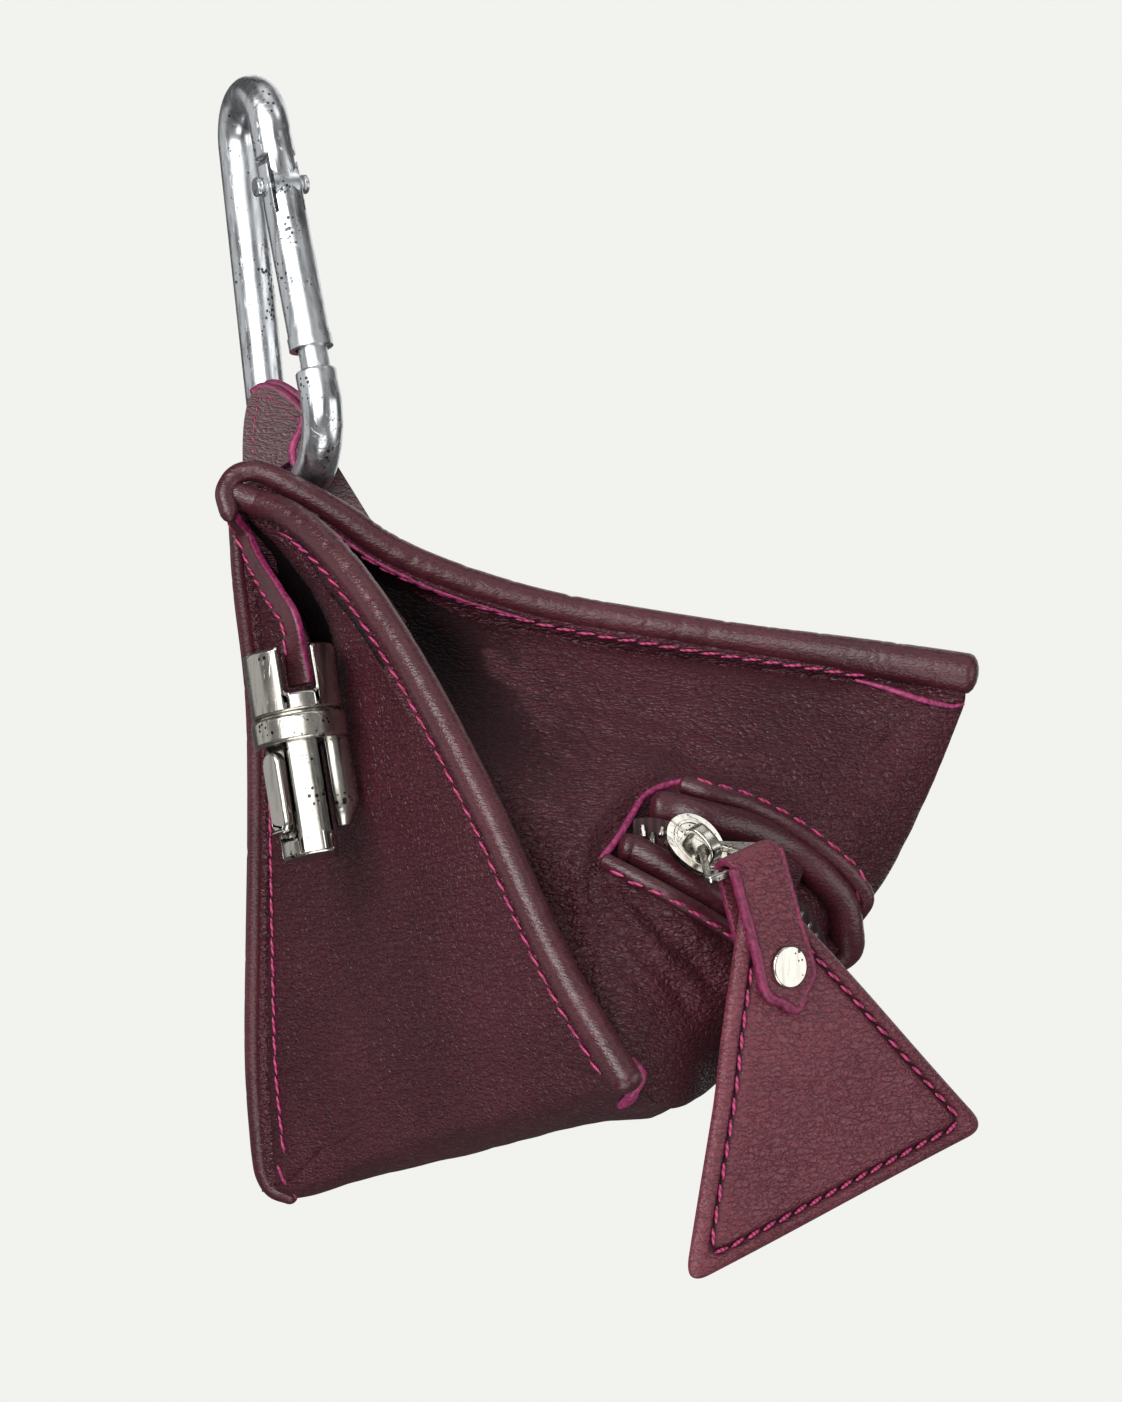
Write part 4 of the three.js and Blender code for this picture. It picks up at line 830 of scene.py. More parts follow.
newPiece("lipBand", bandMesh(lipLine, lipFace, lipHalf, rolls["lipThick"], 150,
                             lambda u, v: 1 if math.cos(2 * math.pi * u) < -0.8 else 0), [rolledLeather, pinkEdge])
print("stage: rolled seams")


# Stitches beside the rolled seams: lines in the picture, set off from the middle of a roll
def offsetSeen(points, away):
    spots = seenAt(np.array(points))
    way = unit(np.gradient(spots, axis=0))
    return spots + np.stack([-way[:, 1], way[:, 0]], axis=1) * (away * camera["pxPerMm"])


for name, line, away, pitch in (
        ("stitchesFront", frontLine[24:-6], 3.7, 3.9),
        ("stitchesTop", seamLine("top", 0.16, 0.88, 160), 3.55, 4.0),
        ("stitchesSide", seamLine("side", 0.32, 0.97, 120), -2.6, 3.9)):
    stitchRow(name, *onSkin(offsetSeen(line, away)), pitch, 3.9, 0.62)
lipOver = unit(np.cross(unit(np.gradient(lipLine, axis=0)), lipFace))
lipBeside = lipLine + lipOver * (lipHalf(np.linspace(0, 1, 140)) * 0.62)[:, None]
lipBeside = lipBeside + unit(lipFace) * rolls["lipThick"] * 0.48
stitchRow("stitchesLip", lipBeside[12:122], lipFace[12:122], 3.6, 3.3, 0.6)

# Raw cut edges that show pink beside the rolls
for name, spots, radius, lift in (
        ("rawTop", offsetSeen(seamLine("top", 0.17, 0.5, 24), 3.35), 0.42, 0.15),
        ("rawTopEnd", [(856, 682), (880, 688), (905, 696), (934, 703), (952, 706), (968, 705)], 0.6, 0.35),
        ("rawFrontEnd", [(633, 1064), (637, 1076), (636, 1087), (630, 1096), (622, 1101)], 1.15, 1.0),
        ("rawSideEnd", [(279, 1166), (286, 1182), (296, 1196)], 0.5, 0.3)):
    newRoll(name, spline(onSkin(spots, lift)[0], 90),
            lambda share, radius=radius: radius * (0.55 + 0.45 * np.sin(math.pi * share)), 12, 110, (0.6, 0.6),
            (40, len(name), 0.18, 40.0), pinkEdge)
print("stage: seam stitches")


# Solid metal pieces: rods, boxes and plates, joined and cut
def rodMesh(radius, high, matrix, segments, bm=None):
    bm = bmesh.new() if bm is None else bm
    bmesh.ops.create_cone(bm, cap_ends=True, segments=segments, radius1=radius * mm, radius2=radius * mm,
                          depth=high * mm, matrix=matrix)
    return bm


def boxMesh(sx, sy, sz, matrix):
    bm = bmesh.new()
    bmesh.ops.create_cube(bm, size=1.0, matrix=matrix @ Matrix.Diagonal((sx * mm, sy * mm, sz * mm, 1)))
    return bm


# Pulls faces out of a mesh and gives the new vertices
def pulled(bm, faces):
    grown = bmesh.ops.extrude_face_region(bm, geom=faces)
    return [v for v in grown["geom"] if isinstance(v, bmesh.types.BMVert)]


# A flat plate from an outline and holes in a frame's first two directions, with its face at the top
def plateMesh(outline, holes, low, high, frameM):
    bm = bmesh.new()
    edges = []
    for loop in [outline, *holes]:
        ring = [bm.verts.new(frameM @ Vector((x, y, low)) * mm) for x, y in loop]
        edges += [bm.edges.new((ring[i], ring[(i + 1) % len(ring)])) for i in range(len(ring))]
    bmesh.ops.triangle_fill(bm, edges=edges, use_beauty=True, use_dissolve=False)
    away = frameM.to_3x3() @ Vector((0, 0, high - low)) * mm
    bmesh.ops.translate(bm, vec=away, verts=pulled(bm, list(bm.faces)))
    bmesh.ops.recalc_face_normals(bm, faces=bm.faces)
    return bm


# Joins and cuts solids in turn and gives the result as one bmesh
def joined(start, *steps):
    work = plain(start)
    for kind, tool in steps:
        other = plain(tool)
        change = work.modifiers.new("step", "BOOLEAN")
        change.object = other
        change.operation = kind
        change.solver = "EXACT"
        done = bpy.data.meshes.new_from_object(work.evaluated_get(bpy.context.evaluated_depsgraph_get()))
        work.modifiers.clear()
        work.data = done
        bpy.data.objects.remove(other)
    bm = bmesh.new()
    bm.from_mesh(work.data)
    bpy.data.objects.remove(work)
    bmesh.ops.remove_doubles(bm, verts=bm.verts, dist=2e-6)
    return bm


def bevelled(made, width, segments=3, angle=32, clamp=True):
    soft = made.modifiers.new("soft edges", "BEVEL")
    soft.width = width * mm
    soft.segments = segments
    soft.limit_method = "ANGLE"
    soft.angle_limit = math.radians(angle)
    soft.harden_normals = True
    soft.miter_outer = "MITER_ARC"
    soft.use_clamp_overlap = clamp


def metalPiece(name, bm, metal, nodes, soft, segments=3, body="bag", clamp=True):
    made = newPiece(name, bm, [metal], nodes, body, 35)
    if soft:
        bevelled(made, soft, segments, clamp=clamp)


def shift(x, y, z):
    return Matrix.Translation((x * mm, y * mm, z * mm))


def inMetres(matrix):
    made = matrix.copy()
    made.translation = matrix.translation * mm
    return made


def placed(frameM, points):
    return np.array([frameM @ Vector(point) for point in points])


# Snap hook: local Z up its length, X from its spine towards its gate
hook = dict(rod=4.0, length=84.5, topBend=9.0, lowBend=14.5, lean=6.2, turn=66.0, hinge=-15.2, gateEnd=-47.6,
            gate=4.1, ear=3.9, tongue=2.55, earIn=3.1, pin=1.25, pinHead=1.9, pinOut=1.1, gap=0.2, forkFoot=-6.2,
            tongueRoom=1.8, noseDrop=4.6, ball=1.7)
hookFrame = Matrix.Rotation(-math.radians(hook["lean"]), 4, "Y") @ Matrix.Rotation(-math.radians(hook["turn"]), 4, "Z")
rod, gate, ear, tongue = (hook[key] for key in ("rod", "gate", "ear", "tongue"))
topBend, lowBend = hook["topBend"], hook["lowBend"]
topZ = rod - topBend
lowX, lowZ = lowBend - topBend, 3 * rod - hook["length"] + lowBend
noseX = lowX + lowBend


def legX(z):
    return topBend + (z - topZ) / (lowZ - topZ) * (noseX - topBend)


legLean = math.atan2(noseX - topBend, topZ - lowZ)
noseEdge = hook["gateEnd"] - hook["noseDrop"]
tongueFoot = hook["hinge"] + ear + hook["tongueRoom"]
rodLine = [(legX(tongueFoot), 0, tongueFoot)]
rodLine += [(topBend * math.cos(t), 0, topZ + topBend * math.sin(t)) for t in np.linspace(0, math.pi, 40)]
rodLine += [(lowX + lowBend * math.cos(t), 0, lowZ + lowBend * math.sin(t))
            for t in np.linspace(math.pi, 2 * math.pi, 50)]
rodLine = np.array(rodLine + [(legX(noseEdge), 0, noseEdge)])
rodFar = lengths(rodLine)
rodLine = placed(hookFrame, between(rodLine, rodFar, np.linspace(0, rodFar[-1], 260)))
hookSide = np.array(hookFrame.to_3x3() @ Vector((0, 1, 0)))
newPiece("hookRod", tubeMesh(rodLine, rod, 32, 260, (0.16, 0.2), first=hookSide), [polishedSteel], ("hook_frame",))


def onLeg(z):
    return inMetres(hookFrame) @ shift(legX(z), 0, z) @ Matrix.Rotation(-legLean, 4, "Y")


hinge = onLeg(hook["hinge"])
# The rod ends in a round tongue between the gate's ears
tongueHigh = ear + 2.6
metalPiece("hookTongue", joined(
    rodMesh(rod, tongueHigh, hinge @ shift(0, 0, tongueHigh / 2), 64),
    ("UNION", rodMesh(rod - 0.02, 2 * tongue + 0.01, hinge @ alongY, 64)),
    ("INTERSECT", boxMesh(14, 2 * tongue, 30, hinge))), polishedSteel, (), 0.25)
# The nose: the rod's end is cut back on one side, with a small ball for the gate's slot
nose = onLeg(noseEdge)
noseBm = joined(rodMesh(gate - 1.25, 7.4, nose @ shift(0.5, 0, 2.0), 48),
                ("DIFFERENCE", boxMesh(4, 12, 6.2, nose @ shift(-2.7, 0, 3.4))))
bmesh.ops.create_uvsphere(noseBm, u_segments=20, v_segments=12, radius=hook["ball"] * mm,
                          matrix=nose @ shift(-1.6, -0.5, 1.7))
metalPiece("hookNose", noseBm, polishedSteel, (), 0)

# The gate: a sleeve forked over the tongue, with a flared lip and a slot at its free end for the nose
endZ = (hook["gateEnd"] - hook["hinge"]) / math.cos(legLean)
forkFoot = hook["forkFoot"]
gateBm = joined(
    rodMesh(gate, forkFoot - endZ, hinge @ shift(0, 0, (forkFoot + endZ) / 2), 72),
    ("UNION", rodMesh(gate + 0.22, 2.4, hinge @ shift(0, 0, endZ + 1.2), 72)),
    ("DIFFERENCE", rodMesh(gate - 1.0, 8.0, hinge @ shift(0, 0, endZ), 56)))
parts = [joined(
    rodMesh(gate - 0.01, -forkFoot + 0.4, hinge @ shift(0, 0, forkFoot / 2 - 0.2), 72),
    ("INTERSECT", boxMesh(14, 2 * tongue, 30, hinge)),
    ("DIFFERENCE", rodMesh(rod + hook["gap"], 16, hinge @ alongY, 64)))]
parts += [joined(
    rodMesh(gate - 0.01, ear - forkFoot + 0.4, hinge @ shift(0, 0, (ear + forkFoot - 0.4) / 2), 72),
    ("INTERSECT", boxMesh(14, 6, 40, hinge @ shift(0, side * (hook["earIn"] + 3), 0)))) for side in (-1, 1)]
for part in parts:
    whole = bpy.data.meshes.new("part")
    part.to_mesh(whole)
    part.free()
    gateBm.from_mesh(whole)
metalPiece("hookGate", gateBm, polishedSteel, ("hook_gate",), 0.3, body="gate")
earOut = gate + hook["gap"]
headAt = earOut + hook["pinOut"] / 2
metalPiece("hookPin", joined(rodMesh(hook["pin"], 2 * earOut + 0.4, hinge @ alongY, 32), *[
    ("UNION", rodMesh(hook["pinHead"], hook["pinOut"], hinge @ shift(0, side * headAt, 0) @ alongY, 32))
    for side in (-1, 1)]), polishedSteel, ("hook_pin",), 0.45)
print("stage: snap hook")

# Clasp: local Z up its axis, X straight out from the left wall
claspM = inMetres(claspFrame)
slotTurn = Matrix.Rotation(-math.radians(clasp["turn"]), 4, "Z")
collarFoot, column, radius = clasp["collarFoot"], clasp["column"], clasp["radius"]


def claspRod(radius, high, z):
    return rodMesh(radius, high, claspM @ shift(0, 0, z + high / 2), 96)


def claspSlot(start, stop, low, high):
    return boxMesh(stop - start, 60, high - low, claspM @ slotTurn @ shift((start + stop) / 2, 0, (low + high) / 2))


def claspPiece(name, bm, nodes, soft, body="bag"):
    metalPiece(name, bm, nickelPlate, nodes, soft, 4, body, clamp=False)


slotNear, slotFar = (-clasp["slotIn"] + side * clasp["slot"] / 2 for side in (-1, 1))
claspPiece("claspCap", joined(claspRod(clasp["capRadius"], clasp["cap"], claspTop - clasp["cap"]),
                              ("DIFFERENCE", claspSlot(slotNear, slotFar, slotFoot, claspTop + 3))),
           ("clasp_cap",), 0.75)
claspFoot = collarFoot - clasp["barrel"]
cupTop = claspFoot + clasp["cup"]
leverSeat = column - clasp["leverIn"] - clasp["leverTravel"] - 0.5
claspPiece("claspColumn", joined(
    claspRod(column, clasp["barrel"] + 1, claspFoot),
    ("DIFFERENCE", claspSlot(-30, -clasp["grooveNear"], cupTop, collarFoot + 0.5)),
    ("DIFFERENCE", claspSlot(-30, -clasp["cupIn"], claspFoot - 1, cupTop + 0.2)),
    ("DIFFERENCE", boxMesh(radius, clasp["leverWide"] + 1, clasp["leverLong"] + 1, claspM @ shift(
        leverSeat + radius / 2, 0, collarFoot - 0.5 - clasp["leverLong"] / 2)))), ("clasp_barrel",), 0.8)
claspPiece("claspCollar", claspRod(radius + 0.3, clasp["collar"], collarFoot), (), 0.9)
claspPiece("claspNeck", claspRod(radius - 1.1, 1.6, collarFoot + clasp["collar"] - 0.5), (), 0)
print("stage: clasp body")

# The prong beside the column: half round, pointed at its foot, down on to the wall
prongTip, prongRound, beside = clasp["prongTip"], clasp["prongRound"], clasp["prongBeside"]
prongTop, prongFoot = collarFoot + 0.5, collarFoot - clasp["prongLong"]
prongAt = -(clasp["standOff"] - clasp["gap"]) + prongRound
prongBm = rodMesh(prongRound, prongTop - prongFoot - prongTip,
                  claspM @ shift(prongAt, beside, (prongTop + prongFoot + prongTip) / 2), 64)
lowest = min(prongBm.faces, key=lambda face: face.calc_center_median().dot(Vector(claspUp)))
tipVerts = pulled(prongBm, [lowest])
bmesh.ops.delete(prongBm, geom=[lowest], context="FACES")
bmesh.ops.translate(prongBm, vec=Vector(claspUp) * -prongTip * mm, verts=tipVerts)
bmesh.ops.scale(prongBm, vec=(clasp["prongPoint"], clasp["prongPoint"], 1.0), verts=tipVerts,
                space=(claspM @ shift(prongAt, beside, prongFoot)).inverted())
bmesh.ops.recalc_face_normals(prongBm, faces=prongBm.faces)
claspPiece("claspProng", joined(prongBm, ("DIFFERENCE", claspSlot(-clasp["grooveFar"], 30, prongFoot - 1, collarFoot))),
           (), 0.6)

leverTop = collarFoot - clasp["leverGap"] * 2
leverEnd = clasp["leverWide"] / 2
leverFace = column - clasp["leverIn"]
leverFrame = claspFrame @ Matrix(((0, 0, 1), (1, 0, 0), (0, 1, 0))).to_4x4()
leverOutline = [(leverEnd * math.cos(t), z + leverEnd * math.sin(t))
                for z, start in ((leverTop - leverEnd, 0), (leverTop - clasp["leverLong"] + 1 + leverEnd, math.pi))
                for t in np.linspace(start, start + math.pi, 18)]
claspPiece("claspLever", plateMesh(leverOutline, [], leverFace, leverFace + clasp["leverThick"], leverFrame),
           ("clasp_lever",), 0.9, "lever")
print("stage: clasp")

# Hang tab: two layers of leather with painted edges, on the lowest stretch of the hook
tab = dict(lean=17.5, holeWide=6.0, holeHigh=5.5, holeRight=0.74, holeLow=0.62, holeAt=(0.1, -1.1), foot=-18.0,
           footLeft=-9.5, footRight=11.0, left=(-11.6, 4.0), right=(13.4, -8.0), tip=(-7.4, 19.6),
           tipCorner=(-12.2, 20.2), shoulder=(1.4, 12.2), shoulderCorner=(-3.6, 19.0), inset=2.1,
           holeEdge=[(303, 418), (301, 428), (295, 440), (292, 452), (294, 464), (298, 474)])
tabAt = hookFrame @ Vector((lowX, 0, lowZ - lowBend))
tabFrame = Matrix.Translation(tabAt) @ Matrix.Rotation(-math.radians(tab["lean"]), 4, "X")
tabPlane = tabFrame @ Matrix(((1, 0, 0), (0, 0, 1), (0, 1, 0))).to_4x4()
tabOut = tabFrame.to_3x3() @ Vector((0, -1, 0))


def curve(a, b, c, count):
    t = np.linspace(0, 1, count)[:, None]
    return (1 - t) ** 2 * np.array(a) + 2 * t * (1 - t) * np.array(b) + t**2 * np.array(c)


tabOutline = np.concatenate([
    np.linspace((tab["footLeft"], tab["foot"]), tab["left"], 16)[:-1],
    curve(tab["left"], tab["tipCorner"], tab["tip"], 14)[:-1],
    curve(tab["tip"], tab["shoulderCorner"], tab["shoulder"], 12)[:-1],
    np.linspace(tab["shoulder"], tab["right"], 14)[:-1],
    np.linspace(tab["right"], (tab["footRight"], tab["foot"]), 8)])
hole = [(tab["holeWide"] * math.cos(t) * (tab["holeRight"] if math.cos(t) > 0 else 1) + tab["holeAt"][0],
         tab["holeHigh"] * math.sin(t) * (tab["holeLow"] if math.sin(t) < 0 else 1) + tab["holeAt"][1])
        for t in np.linspace(0, 2 * math.pi, 48, endpoint=False)]
for name, low, high, nodes in (("hangTab1", -1.6, -0.05, ("hang_tab",)), ("hangTab2", 0.05, 1.6, ())):
    bm = plateMesh(tabOutline, [hole], low, high, tabPlane)
    bm.normal_update()
    for face in bm.faces:
        face.material_index = 1 if abs(face.normal.dot(tabOut)) < 0.5 else 0
    bevelled(newPiece(name, bm, [rolledLeather, magentaEdge], nodes, sharp=40), 0.35, angle=50)
for name, right, up, deep in (("tabEdgeFront", 0.0, 0.0, -0.8), ("tabEdgeBack", 1.5, 1.3, 0.9)):
    line = spline(placed(tabFrame, [(x + right, deep, z + up) for x, z in tabOutline[24:41:3]]), 90)
    newRoll(name, line, 0.95, 14, 90, (0.5, 0.5), (30, 6, 0.14, 30.0), magentaEdge)
eye = Vector(camera["at"])
tabFace = (tabFrame @ Vector((0, -1.7, 0)) - eye).dot(tabOut)
holeEdge = [eye + way * (tabFace / way.dot(tabOut)) for way in (seenWay(*spot) for spot in tab["holeEdge"])]
newRoll("tabEdgeHole", spline(holeEdge, 60), 0.75, 12, 60, (0.5, 0.5), (16, 2, 0.1, 15.0), pinkEdge)
tabLine = tabOutline[2:-12]
tabWay = unit(np.gradient(tabLine, axis=0))
tabLine = tabLine + np.stack([tabWay[:, 1], -tabWay[:, 0]], axis=1) * tab["inset"]
tabLine = placed(tabFrame, [(x, -1.6, z) for x, z in tabLine])
stitchRow("stitchesTab", tabLine, np.array([tabOut] * len(tabLine)), 2.2, 1.4, 0.3)
print("stage: hang tab")

# Zip: lips and welts with radius, height over the skin, length beyond the picture and node; raw end, tape and teeth
zipRolls = dict(
    zipLipUpper=([(653, 809), (674, 812), (700, 817), (740, 830), (780, 852), (812, 876), (835, 903), (843, 930)],
                 3.2, 1.7, 20, "zip_lip_upper"),
    zipLipLower=([(620, 848), (634, 855), (654, 866), (684, 885), (712, 903), (740, 922)],
                 2.8, 1.3, 36, "zip_lip_lower"),
    zipWeltUpper=([(684, 789), (704, 796), (740, 806), (780, 824), (820, 850), (848, 875), (862, 897), (860, 925)],
                  1.7, 0.9, 20, "zip_welt_upper"),
    zipWeltLower=([(606, 864), (636, 879), (668, 897), (700, 915), (724, 931), (760, 955)],
                  1.6, 0.7, 34, "zip_welt_lower"))
zipEnds = dict(raw=[(602, 859), (612, 848), (622, 834), (632, 816), (642, 801), (656, 790), (682, 783)],
               teeth=[(634, 838), (655, 838), (690, 850), (730, 875), (780, 910)])
pouchMiddle = Vector((0.045, -0.03, -0.13))


# A line over the skin through picture spots, which goes on from its end round under the base, and its normals
def overSkin(spots, rise, far, count):
    step = 4.0
    points, normals = (list(values) for values in onSkin(spots, rise))
    way = Vector(unit(points[-1] - points[-2]))
    at = Vector(points[-1] - normals[-1] * rise)
    for _ in range(int(far / step)):
        hit, normal, _, _ = skinTree.find_nearest((at + way * step) * mm)
        if normal.dot(hit - pouchMiddle) < 0:
            normal = -normal
        at = hit / mm
        way = (way - normal * way.dot(normal)).normalized()
        points.append(np.array(at + normal * rise))
        normals.append(np.array(normal))
    return spline(points, count), spline(normals, count)


zipLines = {}
for name, (spots, size, rise, far, node) in zipRolls.items():
    zipLines[name] = overSkin(spots, rise, far, 160)
    newRoll(name, zipLines[name][0], size, 20, 160, (0.5, 0.5), (40, len(name), 0.12, 80.0), rolledLeather, (node,))
for name, welt, side, stop in (("stitchesZipUpper", "zipWeltUpper", 1, 118),
                               ("stitchesZipLower", "zipWeltLower", -1, 90)):
    line, ups = zipLines[welt]
    over = unit(np.cross(ups, unit(np.gradient(line, axis=0)))) * side
    out = unit(unit(ups) * 0.62 + over * 0.78)
    stitchRow(name, (line + out * zipRolls[welt][1])[4:stop], out[4:stop], 3.9, 3.4, 0.7)
newRoll("zipRawEnd", spline(onSkin(zipEnds["raw"], 0.3)[0], 80), 0.68, 12, 90, (0.6, 0.6), (30, 4, 0.25, 35.0),
        pinkEdge)
chainLine, chainNormals = overSkin(zipEnds["teeth"], 0.2, 32, 200)
newPiece("zipTapeStrip", tubeMesh(chainLine, 3.6, 16, 160, (0.1, 0.1), first=chainNormals[0], flat=(0.12, 1.0)),
         [zipTape], ("zip_chain",))
tooth = dict(pitch=1.55, wide=2.6, high=1.3, long=0.95, out=0.9, soft=0.25)
toothSize = Matrix.Diagonal((tooth["long"] * mm, tooth["wide"] * mm, tooth["high"] * mm, 1))
toothBm = bmesh.new()
toothFar, toothAlong, _, _ = lineFrame(chainLine)
for k in range(int(toothFar[-1] / tooth["pitch"])):
    spot, way, over, up = standing(chainLine, chainNormals, toothFar, toothAlong, k * tooth["pitch"])
    at = (spot + (up + over * (1 if k % 2 else -1)) * tooth["out"]) * mm
    made = bmesh.ops.create_cube(toothBm, size=1.0, matrix=frameOf(at, way, over, up) @ toothSize)
    edges = list(dict.fromkeys(e for v in made["verts"] for e in v.link_edges))
    bmesh.ops.bevel(toothBm, geom=edges, offset=tooth["soft"] * mm, segments=1, affect="EDGES", profile=0.5,
                    material=-1)
newPiece("zipTeeth", toothBm, [nickelPlate], sharp=40)
print("stage: zip")

# Slider and puller
slider = dict(share=0.866, width=10.2, length=13.6, middle=-0.6, narrow=0.16, plate=1.5, rise=4.2, post=1.6,
              rim=(-1.3, -2.0), crownLong=7.4, crownWall=1.1, crownThick=1.15,
              crown=[(0, -0.3), (0, 1.8), (0.6, 3.1), (2.2, 3.7)])
sliderAt, sliderAlong, _, sliderNormal = (
    a[0] for a in wallFrame("right", slider["share"], zipAcross(slider["share"])))
sliderFrame = frameOf(sliderAt, sliderAlong, np.cross(sliderNormal, sliderAlong), sliderNormal)
plateTop = slider["rise"] + slider["plate"]


# The slider's top plate: wide where the teeth come apart, narrow where they meet
def sliderOutline(grow):
    return [(slider["middle"] + (slider["length"] / 2 + grow) * math.cos(t),
             (slider["width"] / 2 + grow) * math.sin(t) * (1 - slider["narrow"] * math.cos(t)))
            for t in np.linspace(0, 2 * math.pi, 64, endpoint=False)]


sliderBm = plateMesh(sliderOutline(0.0), [], slider["rise"], plateTop, sliderFrame)
rodMesh(slider["post"], slider["rise"] + 2.0, inMetres(sliderFrame) @ shift(0, 0, slider["rise"] / 2 - 0.5), 32,
        sliderBm)
metalPiece("zipSliderBody", sliderBm, nickelPlate, ("zip_slider",), 0.45)
rimOuter, rimInner = (sliderOutline(grow) for grow in slider["rim"])
metalPiece("zipSliderRim", plateMesh(rimOuter, [rimInner], plateTop - 0.2, plateTop + 0.25, sliderFrame), nickelPlate,
           (), 0.15, 2)
archLine = [((slider["crownWall"] - slider["crownLong"]) / 2 + x, z) for x, z in slider["crown"]]
archLine += [(-x, z) for x, z in archLine[::-1]]
archPoints = spline(placed(sliderFrame, [(x, 0, plateTop + z) for x, z in archLine]), 70)
archUps = unit(archPoints - np.array(sliderFrame @ Vector((0, 0, plateTop - 1.0))))
newPiece("zipSliderCrown", bandMesh(archPoints, archUps, lambda share: 1.75 - 0.45 * np.sin(math.pi * share),
                                    slider["crownThick"], 70), [nickelPlate])

# The puller: a three-cornered frame, its upper leg a broad plate and its lower leg thin; places as in the solids
puller = dict(at=(86.950, -67.540, -141.037), bar=(94.117, -75.806, -143.188), way=(0.649, -0.736, -0.19),
              barWay=(0.755, 0.57, 0.325), thick=1.5, soft=0.5)
barWay = unit(np.array(puller["barWay"]))
pullerWay = np.array(puller["way"])
pullerWay = unit(pullerWay - barWay * pullerWay.dot(barWay))
pullerFrame = frameOf(puller["at"], pullerWay, barWay, np.cross(pullerWay, barWay))
barFar = float(np.dot(np.array(puller["bar"]) - np.array(puller["at"]), pullerWay))
pullerOutline = [(-1.0, -1.7), (-1.3, 0.0), (-1.0, 1.7), (0.4, 2.7), (barFar - 1.4, 7.3), (barFar + 0.4, 7.5),
                 (barFar + 1.2, 6.6), (barFar + 1.2, -8.6), (barFar + 0.5, -9.9), (barFar - 1.0, -9.8), (0.6, -2.5)]
pullerWindow = [(0.7, -1.0), (0.7, 1.0), (2.0, 1.2), (barFar - 2.6, 1.9), (barFar - 1.2, 1.4), (barFar - 1.0, -7.0),
                (barFar - 1.9, -7.2)]
metalPiece("zipPullerFrame", plateMesh(pullerOutline, [pullerWindow], -puller["thick"] / 2, puller["thick"] / 2,
                                       pullerFrame), nickelPlate, ("zip_puller",), puller["soft"], 4, "puller")
print("stage: slider and puller")

# Fob: local X along the bar, Z up towards the bar
fob = dict(base=76.5, high=67.0, top=5.5, corner=5.0, topCorner=1.0, thick=3.0, strapWide=11.2, strapThick=1.5,
           frontLeg=28.5, backLeg=25.0, tip=5.0, fold=1.7, gap=0.35, cap=3.9, backCap=0.8, capHigh=0.9, stem=1.4,
           down=20.2, inset=3.4, grooveShade=0.8, grooveWide=0.75, grooveFloor=-1.0)
fobUp = unit(np.array([0, 0, 1.0]) - barWay * barWay[2])
fobFrame = frameOf(puller["bar"], barWay, np.cross(fobUp, barWay), fobUp)


# A triangle with its top cut off and its corners rounded
def roundTriangle(size):
    halfTop = size["base"] / 2 * size["top"] / size["high"]
    corners = np.array([(-halfTop, -size["top"]), (-size["base"] / 2, -size["high"]),
                        (size["base"] / 2, -size["high"]), (halfTop, -size["top"])])
    cuts = (size["topCorner"], size["corner"], size["corner"], size["topCorner"])
    loop = []
    for i, point in enumerate(corners):
        j = (i + 1) % 4
        before, after = unit(corners[i - 1] - point), unit(corners[j] - point)
        loop += list(curve(point + before * cuts[i], point, point + after * cuts[i], 12))
        loop += list(np.linspace(point + after * cuts[i], corners[j] - after * cuts[j], 24)[1:-1])
    return np.array(loop)


fobOutline = roundTriangle(fob)
fobRadius = fob["base"] * fob["high"] / (fob["base"] + 2 * math.hypot(fob["base"] / 2, fob["high"]))
fobMiddle = np.array([0, -fob["high"] + fobRadius])
# From the back's middle round the edge to the front's middle: distance in from the edge and height
fobProfile = spline([(20.5, 1.3), (10, 1.45), (4.6, 1.5), (3.4, 1.15), (2.3, 1.5), (0.9, 1.3), (0.12, 0.6), (0.0, 0.0),
                     (0.12, -0.6), (0.9, -1.3), (2.2, -1.6), (3.4, -0.85), (4.7, -1.5), (10, -1.6), (20.5, -1.7)], 120)


def fobBow(x, z):
    return (0.5 * np.sin(x * 0.06) + 0.35 * np.sin(z * 0.09 + 1.0)) * smooth(-z, 26, 40)


def placeFob(u, v):
    inset, high = between(fobProfile, range(len(fobProfile)), v * (len(fobProfile) - 1)).T
    loop = np.concatenate([fobOutline, fobOutline[:1]])
    at = between(loop, range(len(loop)), u * len(fobOutline))
    scale = np.where((v <= 0) | (v >= 1), 0.0, np.clip((fobRadius - inset) / fobRadius, 0.0, 1))
    x, z = (fobMiddle + (at - fobMiddle) * scale[:, None]).T
    return placed(fobFrame, zip(x, high + fobBow(x, z), z))


fobPlate = newPiece("fobPlate", gridMesh(len(fobOutline), 119, placeFob), [fobLeather], ("fob_plate",), "fob")
stitchScale = (fobRadius - fob["inset"]) / fobRadius
fobStitch = fobMiddle + (np.concatenate([fobOutline, fobOutline[:2]]) - fobMiddle) * stitchScale
# Painted shade darkens the groove under the stitches, on the front
toFob = fobFrame.inverted()
fobSpots = np.array([toFob @ (v.co / mm) for v in fobPlate.data.vertices])
grooveFar, _ = besideSeen(fobSpots[:, ::2], fobStitch)
setOwnValue(fobPlate, "inside", fob["grooveShade"] * hill(grooveFar, fob["grooveWide"]) * (fobSpots[:, 1] < 0))
stitchX, stitchZ = fobStitch.T
fobFront = placed(fobFrame, zip(stitchX, fob["grooveFloor"] + fobBow(stitchX, stitchZ), stitchZ))
fobOut = fobFrame.to_3x3() @ Vector((0, -1, 0))
stitchRow("stitchesFob", fobFront, np.array([fobOut] * len(fobFront)), 3.9, 3.3, 0.75, "fob")

